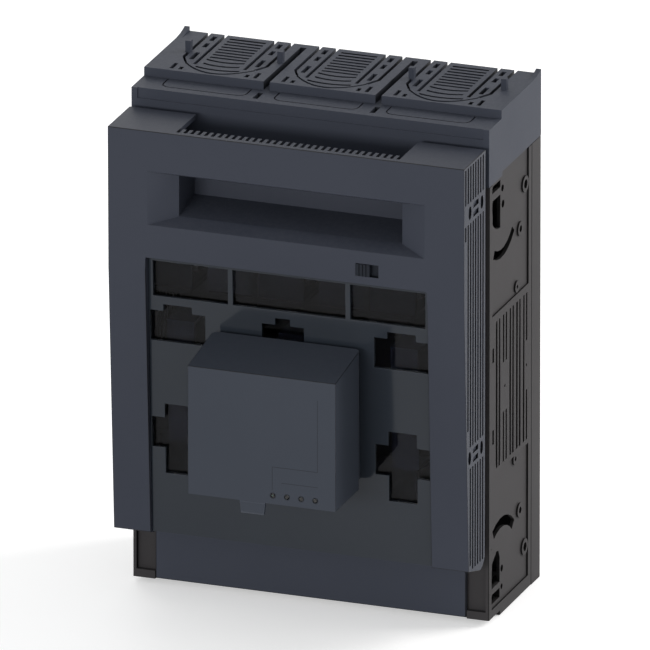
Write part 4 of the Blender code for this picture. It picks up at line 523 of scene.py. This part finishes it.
@dataclass(frozen=True)
class BareMetal(Finish):
    """Stamped or turned metal with drawn lines and a little tarnish.

    Attributes:
        colour: Colour of the bright metal.
        tarnish: Its colour where it is tarnished.
        roughness: Roughness of the bright metal.
        fineness: Fineness of the drawn lines.
        dulling: How much rougher tarnished places are.
        streaks: How far the drawn lines change the roughness, down and up.
        relief: Depth of the drawn lines.
        bump: Strength of the relief in the shading.
    """

    colour: Colour
    tarnish: Colour
    roughness: float = 0.32
    fineness: float = 2600.0
    dulling: float = 0.12
    streaks: Reach = (-0.06, 0.08)
    relief: float = 0.00003
    bump: float = 0.35

    def wire(self, sheet: Sheet, shader: bpy.types.Node) -> None:
        """Lay drawn lines and tarnish under the shader.

        Args:
            sheet: The material's node tree.
            shader: Its Principled BSDF.
        """
        place = place_of(sheet)
        lines = grouped(sheet, Effects.drawn_lines(), {"Vector": place, "Fineness": self.fineness})
        tone = lines.outputs["Tone"]
        sheet.tree.links.new(sheet.mix(tone, self.colour, self.tarnish), shader.inputs["Base Color"])
        height = lines.outputs["Height"]
        smoother, rougher = self.streaks
        streak = sheet.ranged(height, low=0.3, high=0.7, start=smoother, end=rougher)
        dulled = sheet.ranged(tone, start=self.roughness, end=self.roughness + self.dulling)
        sheet.tree.links.new(sheet.maths("ADD", dulled, streak), shader.inputs["Roughness"])
        relief = {"Height": height, "Strength": self.bump, "Distance": self.relief}
        sheet.tree.links.new(sheet.add("Bump", relief).outputs[0], shader.inputs["Normal"])
        shader.inputs["Metallic"].default_value = 1.0


@dataclass(frozen=True)
class ClearPlastic(Finish):
    """Clear or smoked plastic with faint wipe marks.

    Attributes:
        colour: Colour of the light that passes.
        roughness: Roughness of the clean plastic.
        index: Index of refraction.
        smear: How much rougher the wipe marks are.
    """

    colour: Colour
    roughness: float = 0.04
    index: float = 1.5
    smear: float = 0.05

    def wire(self, sheet: Sheet, shader: bpy.types.Node) -> None:
        """Lay faint wipe marks in the roughness of clear plastic.

        Args:
            sheet: The material's node tree.
            shader: Its Principled BSDF.
        """
        slanted = {"Vector": place_of(sheet), "Rotation": (0.0, 0.5, 0.0), "Scale": (25.0, 25.0, 160.0)}
        wiped = sheet.add("Mapping", slanted).outputs[0]
        marks = sheet.add("TexNoise", {"Vector": wiped, "Scale": 1.0, "Detail": 5.0}).outputs["Fac"]
        smeared = self.roughness + self.smear
        rough = sheet.ranged(marks, low=0.45, high=0.75, start=self.roughness, end=smeared)
        sheet.tree.links.new(rough, shader.inputs["Roughness"])
        shader.inputs["Base Color"].default_value = (*self.colour, 1.0)
        shader.inputs["Transmission Weight"].default_value = 1.0
        shader.inputs["IOR"].default_value = self.index


@dataclass(frozen=True)
class LacqueredBoard(Finish):
    """Green circuit board with copper tracks under its lacquer.

    Attributes:
        colour: Colour of the lacquer on bare laminate.
        track: Its colour over the tracks.
        roughness: Least and most roughness of the lacquer.
        relief: Height of the tracks.
        bump: Strength of the relief in the shading.
        coat: Strength of the lacquer's clear coat.
    """

    colour: Colour = (0.012, 0.085, 0.035)
    track: Colour = (0.035, 0.16, 0.06)
    roughness: Reach = (0.28, 0.42)
    relief: float = 0.00005
    bump: float = 0.4
    coat: float = 0.4

    def wire(self, sheet: Sheet, shader: bpy.types.Node) -> None:
        """Lay tracks and the weave of the laminate under the shader.

        Args:
            sheet: The material's node tree.
            shader: Its Principled BSDF.
        """
        place = place_of(sheet)
        turned = sheet.add("Mapping", {"Vector": place, "Rotation": (math.pi / 2, 0.0, 0.0)}).outputs[0]
        tracks = sheet.add("TexBrick", {"Vector": turned, "Scale": 110.0, "Mortar Size": 0.06, "Bias": 0.2})
        share = sheet.ranged(tracks.outputs["Fac"], low=0.2, high=0.8)
        sheet.tree.links.new(sheet.mix(share, self.colour, self.track), shader.inputs["Base Color"])
        weave = sheet.add("TexNoise", {"Vector": place, "Scale": 1800.0, "Detail": 2.0}).outputs["Fac"]
        least, most = self.roughness
        rough = sheet.ranged(weave, low=0.3, high=0.7, start=least, end=most)
        sheet.tree.links.new(rough, shader.inputs["Roughness"])
        relief = {"Height": share, "Strength": self.bump, "Distance": self.relief}
        sheet.tree.links.new(sheet.add("Bump", relief).outputs[0], shader.inputs["Normal"])
        shader.inputs["Coat Weight"].default_value = self.coat


# The third colour of each plastic is for its rounded edges: lighter, a painted edge highlight that also
# stands for wear.
BLUE_GREY = (0.0335, 0.0385, 0.0535)
BLUE_GREY_CLOUD = (0.0365, 0.0415, 0.0570)
BLUE_GREY_EDGE_HIGHLIGHT = (0.066, 0.073, 0.093)
COVER_PLASTIC = MouldedPlastic(
    "cover_plastic", Slot.COVER, BLUE_GREY, BLUE_GREY_CLOUD, BLUE_GREY_EDGE_HIGHLIGHT, roughness=0.58, specular=0.16,
    wear_and_highlight=0.2, recess_start=0.5,
)
HANDLE_PLASTIC = MouldedPlastic(
    "handle_plastic", Slot.COVER, (0.0308, 0.0352, 0.0492), (0.0338, 0.0382, 0.0525), BLUE_GREY_EDGE_HIGHLIGHT,
    roughness=0.5, specular=0.15, dust=0.04, recess_start=0.22,
)
PLATE_PLASTIC = MouldedPlastic(
    "plate_plastic", Slot.COVER, (0.0200, 0.0245, 0.0320), (0.0215, 0.0265, 0.0345), (0.045, 0.052, 0.066),
    roughness=0.11, specular=0.23, relief=0.000012, dust=0.02,
)
MONITOR_PLASTIC = MouldedPlastic(
    "monitor_plastic", Slot.COVER, (0.0325, 0.0385, 0.0515), (0.0355, 0.0415, 0.0550), (0.064, 0.072, 0.092),
    roughness=0.48, specular=0.16, relief=0.00004, dust=0.02, label=0.00018,
)
SLIDER_PLASTIC = MouldedPlastic(
    "slider_plastic", Slot.GREY, (0.0125, 0.0150, 0.0200), (0.0145, 0.0170, 0.0230), (0.040, 0.045, 0.058),
    roughness=0.46, specular=0.07, wear_and_highlight=0.5, dust=0.0, recess=0.9,
)
# The base's slots and seams get strong painted shade.
BASE_PLASTIC = MouldedPlastic(
    "base_plastic", Slot.BASE, (0.0290, 0.0270, 0.0285), (0.0335, 0.0315, 0.0330), (0.060, 0.057, 0.059),
    roughness=0.62, specular=0.16, relief=0.00009, dust=0.04, recess=0.95, recess_start=0.12,
)
GREY_PLASTIC = MouldedPlastic(
    "grey_plastic", Slot.GREY, (0.16, 0.165, 0.17), (0.19, 0.195, 0.20), (0.30, 0.30, 0.31),
    roughness=0.5, specular=0.3,
)
SMOKED_PANE = ClearPlastic("smoked_pane", Slot.PANE, (0.30, 0.31, 0.36), roughness=0.02, index=1.205)
LAMP_GUIDE = ClearPlastic("lamp_guide", Slot.LIGHT_GUIDE, (0.30, 0.33, 0.40), roughness=0.3)
SILVERED_COPPER = BareMetal("silvered_copper", Slot.CONTACT, (0.78, 0.74, 0.66), (0.60, 0.50, 0.38))
SPRING_STEEL = BareMetal("spring_steel", Slot.SPRING, (0.46, 0.46, 0.47), (0.30, 0.31, 0.34), roughness=0.36)
ZINC_STEEL = BareMetal("zinc_steel", Slot.ZINC, (0.62, 0.63, 0.64), (0.45, 0.46, 0.48), roughness=0.38)
BOARD_LACQUER = LacqueredBoard("board_lacquer", Slot.BOARD)


@dataclass(frozen=True)
class Rounding:
    """How far the edges of a copied solid are rounded.

    Attributes:
        wide: Radius on the long free edges, 0 for none.
        fine: Radius on every other sharp edge.
        long_edge: Shortest edge that gets the wide radius.
        turn: Angle between faces past which an edge is sharp, in degrees.
        long_turn: The same angle for the wide radius.
        spare: Shortest edge that gets a radius, against that radius.
        long_spare: Shortest edge that meets one with the wide radius, against that radius.
    """

    wide: float = 0.0005
    fine: float = 0.00018
    long_edge: float = 0.009
    turn: float = 28.0
    long_turn: float = 40.0
    spare: float = 2.2
    long_spare: float = 2.6


def copied(node: str) -> bmesh.types.BMesh:
    """Copy a CAD node's mesh, with its doubles merged and its flat faces joined.

    Args:
        node: Name of the node.

    Returns:
        The copy.
    """
    shape = bmesh.new()
    shape.from_mesh(frame["nodes"][node].data)
    bmesh.ops.remove_doubles(shape, verts=shape.verts[:], dist=MERGE_WITHIN)
    limit = {"verts": shape.verts[:], "edges": shape.edges[:], "delimit": {"NORMAL"}}
    bmesh.ops.dissolve_limit(shape, angle_limit=math.radians(FLAT_TURN), **limit)
    return shape


def sharp(edge: bmesh.types.BMEdge, turn: float) -> bool:
    """Return whether the faces beside an edge meet at more than an angle in degrees."""
    return len(edge.link_faces) == 2 and edge.calc_face_angle(0.0) > math.radians(turn)


def free_edge(edge: bmesh.types.BMEdge, rounding: Rounding) -> bool:
    """Tell whether an edge is long, convex and clear enough for the wide radius.

    Args:
        edge: The edge.
        rounding: The radii and limits.

    Returns:
        Whether it gets the wide radius.
    """
    if edge.calc_length() < rounding.long_edge or not edge.is_convex or not sharp(edge, rounding.long_turn):
        return False
    return all(
        other.calc_length() > rounding.long_spare * rounding.wide
        for corner in edge.verts for other in corner.link_edges
    )


def rounded(shape: bmesh.types.BMesh, rounding: Rounding) -> bmesh.types.BMesh:
    """Round a shape's edges and mark the new faces in its edge layer, where the finishes paint an edge
    highlight.

    Args:
        shape: The merged shape, changed in place.
        rounding: The radii and limits.

    Returns:
        The same shape.
    """
    marks = shape.faces.layers.float.new("edge")
    passes: list[tuple[float, Callable]] = []
    if rounding.wide:
        passes.append((rounding.wide, lambda edge: free_edge(edge, rounding)))
    if rounding.fine:
        passes.append((rounding.fine, lambda edge: sharp(edge, rounding.turn)))
    for radius, chosen in passes:
        ring = [
            edge for edge in shape.edges
            if edge.calc_length() > rounding.spare * radius and chosen(edge)
            and not any(face[marks] for face in edge.link_faces)
        ]
        done = bmesh.ops.bevel(
            shape, geom=ring, offset=radius, offset_type="OFFSET", segments=2, profile=0.5,
            affect="EDGES", clamp_overlap=True, loop_slide=True, material=-1,
        )
        for face in done["faces"]:
            face[marks] = 1.0
    return shape


class Surroundings:
    """The CAD nodes of each body, against which the recesses of a piece are found for its painted shade.

    Attributes:
        clear_nodes: Nodes that let light through and hide nothing.
        reach: How far off a solid still hides the sky.
        widest: Widest flat region that counts as part of a recess.
        lift: Height over the surface at which the search starts.
        rings: Rings of rays, each the sine of their tilt and how many there are.
    """

    _trees: dict[Body, BVHTree] = {}
    clear_nodes = ("inspection_window", "light_guide")
    reach = 0.045
    widest = 0.006
    lift = 0.00004
    rings = ((0.25, 4), (0.60, 6), (0.88, 6))

    @classmethod
    def tree(cls, body: Body) -> BVHTree:
        """Make the search tree of a body's CAD nodes, clear ones left out, on first use.

        Args:
            body: The body.

        Returns:
            The search tree.
        """
        if body not in cls._trees:
            points: list[Vector] = []
            faces: list[tuple[int, ...]] = []
            for name, node in frame["nodes"].items():
                if node["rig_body"] != body.value or name in cls.clear_nodes:
                    continue
                start = len(points)
                points += [vertex.co.copy() for vertex in node.data.vertices]
                faces += [tuple(start + index for index in face.vertices) for face in node.data.polygons]
            cls._trees[body] = BVHTree.FromPolygons(points, faces)
        return cls._trees[body]

    @classmethod
    def hidden_share(cls, tree: BVHTree, place: Vector, normal: Vector) -> float:
        """Return the share of the sky over a point that near solids hide.

        Args:
            tree: The search tree of the solids.
            place: The point.
            normal: The way its surface faces.

        Returns:
            0 where it is open and 1 where it is closed in.
        """
        turn = normal.to_track_quat("Z", "Y")
        start = place + normal * cls.lift
        hit = 0
        for tilt, count in cls.rings:
            upright = math.sqrt(1 - tilt * tilt)
            for number in range(count):
                angle = 2 * math.pi * (number + tilt) / count
                ray = turn @ Vector((math.cos(angle) * tilt, math.sin(angle) * tilt, upright))
                hit += tree.ray_cast(start, ray, cls.reach)[0] is not None
        return hit / sum(count for _, count in cls.rings)


def flat_regions(shape: bmesh.types.BMesh) -> list[list[bmesh.types.BMFace]]:
    """Sort a shape's faces into groups that join and lie in one plane.

    Args:
        shape: The shape.

    Returns:
        The groups.
    """
    left = set(shape.faces)
    regions = []
    for first in shape.faces:
        if first not in left:
            continue
        left.remove(first)
        region = [first]
        for face in region:
            for other in (near for edge in face.edges for near in edge.link_faces):
                if other in left and other.normal.dot(first.normal) > SAME_PLANE:
                    left.remove(other)
                    region.append(other)
        regions.append(region)
    return regions


def mark_recesses(shape: bmesh.types.BMesh, body: Body) -> None:
    """Write how hidden each small or narrow flat region of a shape is into its recess layer, from which the
    finishes paint shade.

    Args:
        shape: The shape, in the row frame.
        body: The body that it rides on.
    """
    marks = shape.faces.layers.float.new("recess")
    tree = Surroundings.tree(body)
    for region in flat_regions(shape):
        area = sum(face.calc_area() for face in region)
        longest = max(edge.calc_length() for face in region for edge in face.edges)
        if area / max(longest, NEGLIGIBLE) > Surroundings.widest:
            continue
        hidden = sum(
            face.calc_area() * Surroundings.hidden_share(tree, face.calc_center_median(), face.normal)
            for face in region
        )
        for face in region:
            face[marks] = hidden / max(area, NEGLIGIBLE)


def finished(name: str, shape: bmesh.types.BMesh, finish: Finish, body: Body) -> bpy.types.Object:
    """Turn a shape into a piece that rides on a body.

    Args:
        name: Name of the piece.
        shape: Its shape in the row frame; it is freed.
        finish: Its finish.
        body: The body that it rides on.

    Returns:
        The piece, its shading weighted by the area of its faces.
    """
    for face in shape.faces:
        face.smooth = True
    for edge in shape.edges:
        edge.smooth = not sharp(edge, SMOOTH_TURN)
    mesh = bpy.data.meshes.new(name)
    shape.to_mesh(mesh)
    shape.free()
    item = bpy.data.objects.new(name, mesh)
    bpy.context.scene.collection.objects.link(item)
    shading = item.modifiers.new("shading", "WEIGHTED_NORMAL")
    shading.keep_sharp = True
    item.data.materials.append(finish.material())
    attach(item, body.value)
    return item


@dataclass
class SubAssembly:
    """A group of CAD nodes of one body and the pieces that go with them."""

    body: Body
    pieces: list[bpy.types.Object] = field(default_factory=list)

    def dress(self, nodes: Iterable[str], finish: Finish, rounding: Rounding) -> None:
        """Replace CAD nodes by copies with rounded edges and a finish.

        Args:
            nodes: Names of the CAD nodes.
            finish: Finish of the copies.
            rounding: How their edges are rounded.
        """
        for node in nodes:
            before = copied(node)
            volume = before.calc_volume()
            shape = rounded(before, rounding)
            change = shape.calc_volume() / volume - 1.0
            mark_recesses(shape, self.body)
            count = len(shape.faces)
            item = finished(node + "_piece", shape, finish, self.body)
            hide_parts(node)
            self.pieces.append(item)
            LOG.info("%s: %d faces, volume %+.2f%%", item.name, count, 100 * change)

    def add(self, name: str, shape: bmesh.types.BMesh, finish: Finish) -> None:
        """Add a new piece and report it.

        Args:
            name: Name of the piece.
            shape: Its shape in the row frame; it is freed.
            finish: Its finish.
        """
        mark_recesses(shape, self.body)
        count = len(shape.faces)
        self.pieces.append(finished(name, shape, finish, self.body))
        LOG.info("%s: %d faces, new", name, count)


def numbered(*stems: str, count: int = 3) -> list[str]:
    """Return node names with a number from 1 added to each stem."""
    return [f"{stem}_{number}" for stem in stems for number in range(1, count + 1)]


def block(shape: bmesh.types.BMesh, low: Vector, high: Vector) -> list[bmesh.types.BMVert]:
    """Add a block between two corners.

    Args:
        shape: The shape that gets it.
        low: Lowest corner.
        high: Highest corner.

    Returns:
        The block's vertices.
    """
    place = Matrix.Translation((low + high) / 2) @ Matrix.Diagonal((*(high - low), 1.0))
    return bmesh.ops.create_cube(shape, size=1.0, matrix=place)["verts"]


@dataclass
class SwitchBase(SubAssembly):
    """The rear tray, the main moulding and what stands in them.

    Attributes:
        body: The body that its pieces ride on.
        housing: Rounding of the two dark mouldings.
        covers: Rounding of the terminal covers.
        small: Rounding of the guards, the arc chutes and the metal parts.
        none: No rounding, for the thin plates of the arc stacks.
    """

    body: Body = Body.BASE
    housing: Rounding = Rounding(wide=0.00045, fine=0.00022, long_edge=0.03)
    covers: Rounding = Rounding(wide=0.0006, fine=0.00022)
    small: Rounding = Rounding(wide=0.0, fine=0.00020)
    none: Rounding = Rounding(wide=0.0, fine=0.0)

    def build(self) -> None:
        """Dress the base's nodes, outside first."""
        self.dress(("rear_base", "base_housing"), BASE_PLASTIC, self.housing)
        self.dress(("upper_terminal_cover", "lower_terminal_cover"), COVER_PLASTIC, self.covers)
        self.dress(numbered("touch_guard_upper", "touch_guard_lower"), GREY_PLASTIC, self.small)
        self.dress(numbered("arc_chute"), GREY_PLASTIC, self.small)
        self.dress(numbered("contact_upper", "contact_lower"), SILVERED_COPPER, self.small)
        self.dress(numbered("jaw_spring_upper", "jaw_spring_lower"), SPRING_STEEL, self.small)
        self.dress(numbered("contact_screw_upper", "contact_screw_lower"), ZINC_STEEL, self.small)
        self.dress(numbered("terminal_bolt_upper", "terminal_bolt_lower"), ZINC_STEEL, self.small)
        self.dress(numbered("deion_stack"), ZINC_STEEL, self.none)
        self.dress(("hinge_pin_left", "hinge_pin_right"), ZINC_STEEL, self.small)


@dataclass
class HandleUnit(SubAssembly):
    """The frame that swings, the fuse carrier in its window and the smoked pane.

    Attributes:
        body: The body that its pieces ride on.
        frame_edges: Rounding of the frame.
        plate_edges: Rounding of the carrier plate, the pane and the grippers.
    """

    body: Body = Body.HANDLE
    frame_edges: Rounding = Rounding(wide=0.0006, fine=0.00022)
    plate_edges: Rounding = Rounding(wide=0.0, fine=0.00015)

    def build(self) -> None:
        """Dress the handle unit's own nodes."""
        self.dress(("handle_frame",), HANDLE_PLASTIC, self.frame_edges)
        self.dress(("fuse_carrier_plate",), PLATE_PLASTIC, self.plate_edges)
        self.dress(("inspection_window",), SMOKED_PANE, self.plate_edges)
        self.dress(numbered("fuse_gripper"), HANDLE_PLASTIC, self.plate_edges)


@dataclass
class LockSlider(SubAssembly):
    """The small ridged slider that locks the handle unit.

    Attributes:
        body: The body that it rides on.
        edges: Its rounding.
    """

    body: Body = Body.SLIDER
    edges: Rounding = Rounding(wide=0.0, fine=0.00015)

    def build(self) -> None:
        """Dress the slider."""
        self.dress(("lock_slider",), SLIDER_PLASTIC, self.edges)


@dataclass
class FuseMonitor(SubAssembly):
    """The box on the fuse carrier, with its lamps and its release tongue.

    Attributes:
        body: The body that its pieces ride on.
        edges: Rounding of the box and its foot.
        small: Rounding of the light guide, the board and the screws.
        tongue_edges: Rounding of the tongue.
        tongue_left: Left side of the tongue.
        tongue_size: Width, thickness and height of the tongue.
        tongue_back: How far it stands behind the box's front.
        tongue_lap: How far it reaches up into the box.
        tongue_taper: How far each of its sides draws in at its foot.
        ridge_margin: Width of the rim round the ridge on its front.
        ridge_depth: How far the ridge's face lies behind that rim.
    """

    body: Body = Body.HANDLE
    edges: Rounding = Rounding(wide=0.0006, fine=0.0002, long_edge=0.006)
    small: Rounding = Rounding(wide=0.0, fine=0.00012)
    tongue_edges: Rounding = Rounding(wide=0.0, fine=0.00025)
    tongue_left: float = -0.0130
    tongue_size: tuple[float, float, float] = (0.0150, 0.0024, 0.0074)
    tongue_back: float = 0.0003
    tongue_lap: float = 0.00005
    tongue_taper: float = 0.0008
    ridge_margin: float = 0.0011
    ridge_depth: float = 0.0004

    def build(self) -> None:
        """Dress the monitor's nodes and add its trim."""
        self.dress(("monitor_base", "monitor_housing"), MONITOR_PLASTIC, self.edges)
        self.dress(("light_guide",), LAMP_GUIDE, self.small)
        self.dress(("monitor_board",), BOARD_LACQUER, self.small)
        self.dress(numbered("monitor_screw", count=4), ZINC_STEEL, self.small)
        self.release_tongue()

    def release_tongue(self) -> None:
        """Add the small tongue under the box's front edge that lets the box off its foot."""
        shape = bmesh.new()
        width, thickness, height = self.tongue_size
        front = HOUSING_LOW.y + self.tongue_back
        top = HOUSING_LOW.z + self.tongue_lap
        low = Vector((self.tongue_left, front, top - height))
        high = Vector((self.tongue_left + width, front + thickness, top))
        middle = (low + high) / 2
        for corner in block(shape, low, high):
            if corner.co.z < middle.z:
                corner.co.x += self.tongue_taper if corner.co.x < middle.x else -self.tongue_taper
        face = min(shape.faces, key=lambda side: side.calc_center_median().y)
        bmesh.ops.inset_region(shape, faces=[face], thickness=self.ridge_margin, depth=-self.ridge_depth)
        bmesh.ops.recalc_face_normals(shape, faces=shape.faces[:])
        self.add("release_tongue", rounded(shape, self.tongue_edges), MONITOR_PLASTIC)


@dataclass(frozen=True)
class SoftLamp:
    """A soft lamp with a rectangular sheet.

    Attributes:
        name: Its name.
        place: Where it stands.
        size: Width and height of its sheet.
        power: Its power in watts.
        colour: Colour of its light.
    """

    name: str
    place: tuple[float, float, float]
    size: tuple[float, float]
    power: float
    colour: Colour


@dataclass
class Studio:
    """Camera, floor, light and surroundings.

    Attributes:
        azimuth: Camera's angle to the right of the front, in degrees.
        elevation: Camera's angle above level, in degrees.
        target: Point that the camera and the lamps look at.
        lens: Focal length in millimetres.
        sensor: Width of the camera's sensor in millimetres.
        distance: From the camera to the target.
        sight: Farthest distance that the camera sees.
        sky: Colour of the surroundings as the object gets their light.
        sky_strength: How strong that light is.
        floor_radius: Radius of the floor.
        floor_gap: Gap between the floor and the object.
        floor_tone: Brightness of the floor's own colour.
        floor_roughness: Roughness of the floor.
        floor_gloss: Strength of its gloss.
        floor_glow: Light that the floor seems to give, as the camera and glass see it.
        lamps: The lamps.
    """

    azimuth: float = 20.0
    elevation: float = 20.0
    target: Vector = field(default_factory=lambda: Vector((0.00694, -0.080, 0.0154)))
    lens: float = 1717.0
    sensor: float = 36.0
    distance: float = 17.137
    sight: float = 100.0
    sky: Colour = (0.985, 0.995, 1.0)
    sky_strength: float = 0.59
    floor_radius: float = 9.0
    floor_gap: float = 0.0002
    floor_tone: float = 0.82
    floor_roughness: float = 0.9
    floor_gloss: float = 0.1
    floor_glow: float = 0.42
    lamps: tuple[SoftLamp, ...] = (
        SoftLamp("right_behind", (1.50, 0.95, 0.95), (0.9, 0.9), 27.0, (1.0, 0.975, 0.96)),
        SoftLamp("left_behind", (-0.55, 0.50, 0.46), (0.4, 0.4), 1.1, (1.0, 0.99, 0.98)),
        SoftLamp("front", (-0.42, -3.0, 0.50), (1.3, 0.6), 36.0, WHITE),
    )

    def camera(self) -> None:
        """Place the camera at the photograph's angle."""
        turn, lift = math.radians(self.azimuth), math.radians(self.elevation)
        away = Vector((math.sin(turn) * math.cos(lift), -math.cos(turn) * math.cos(lift), math.sin(lift)))
        data = bpy.data.cameras.new("camera")
        data.lens = self.lens
        data.sensor_width = self.sensor
        data.clip_end = self.sight
        camera = bpy.data.objects.new("camera", data)
        camera.location = self.target + away * self.distance
        camera.rotation_euler = (-away).to_track_quat("-Z", "Y").to_euler()
        bpy.context.scene.collection.objects.link(camera)
        bpy.context.scene.camera = camera

    def light(self, lamp: SoftLamp) -> None:
        """Add a lamp that points at the target.

        Args:
            lamp: The lamp.
        """
        data = bpy.data.lights.new(lamp.name, "AREA")
        data.shape = "RECTANGLE"
        data.size, data.size_y = lamp.size
        data.energy = lamp.power
        data.color = lamp.colour
        item = bpy.data.objects.new(lamp.name, data)
        item.location = lamp.place
        item.rotation_euler = (self.target - Vector(lamp.place)).to_track_quat("-Z", "Y").to_euler()
        bpy.context.scene.collection.objects.link(item)

    def seen_directly(self, sheet: Sheet) -> bpy.types.NodeSocket:
        """Pick out rays from the camera, from gloss and through glass.

        Args:
            sheet: The node tree.

        Returns:
            The socket of a value that is 1 for such rays and 0 for others.
        """
        path = sheet.add("LightPath")
        seen = sheet.maths("MAXIMUM", path.outputs["Is Camera Ray"], path.outputs["Is Glossy Ray"])
        return sheet.maths("MAXIMUM", seen, path.outputs["Is Transmission Ray"])

    def surroundings(self) -> None:
        """Make surroundings that look white and light the object softly."""
        world = bpy.data.worlds.new("surroundings")
        bpy.context.scene.world = world
        world.use_nodes = True
        sheet = Sheet(world.node_tree)
        soft = sheet.add("Background", {"Color": (*self.sky, 1.0), "Strength": self.sky_strength})
        white = sheet.add("Background", {"Color": (*WHITE, 1.0), "Strength": 1.0})
        both = {0: self.seen_directly(sheet), 1: soft.outputs[0], 2: white.outputs[0]}
        sheet.add("OutputWorld", {"Surface": sheet.add("MixShader", both).outputs[0]})

    def ground(self) -> None:
        """Lay the pale floor."""
        shape = bmesh.new()
        place = Matrix.Translation((0.0, 0.0, FLOOR_HEIGHT - self.floor_gap))
        bmesh.ops.create_circle(shape, segments=96, radius=self.floor_radius, cap_ends=True, matrix=place)
        mesh = bpy.data.meshes.new("floor")
        shape.to_mesh(mesh)
        shape.free()
        floor = bpy.data.objects.new("floor", mesh)
        bpy.context.scene.collection.objects.link(floor)
        material = bpy.data.materials.new("pale_floor")
        material.use_nodes = True
        sheet = Sheet(material.node_tree)
        look = {
            "Base Color": (self.floor_tone, self.floor_tone, self.floor_tone, 1.0),
            "Roughness": self.floor_roughness, "Specular IOR Level": self.floor_gloss,
            "Emission Color": (*WHITE, 1.0),
            "Emission Strength": sheet.maths("MULTIPLY", self.seen_directly(sheet), self.floor_glow),
        }
        shader = sheet.add("BsdfPrincipled", look)
        sheet.add("OutputMaterial", {"Surface": shader.outputs["BSDF"]})
        mesh.materials.append(material)

    def build(self) -> None:
        """Set up the whole studio."""
        self.camera()
        self.surroundings()
        self.ground()
        for lamp in self.lamps:
            self.light(lamp)
        bpy.context.scene.view_settings.view_transform = "Standard"


def main() -> None:
    """Build every sub-assembly in order and set up the studio."""
    logging.basicConfig(level=logging.INFO, format="%(name)s: %(message)s")
    for part in (SwitchBase(), HandleUnit(), LockSlider(), FuseMonitor()):
        part.build()
        LOG.info("%s: %d pieces", type(part).__name__, len(part.pieces))
    Studio().build()


if __name__ == "__main__":
    main()
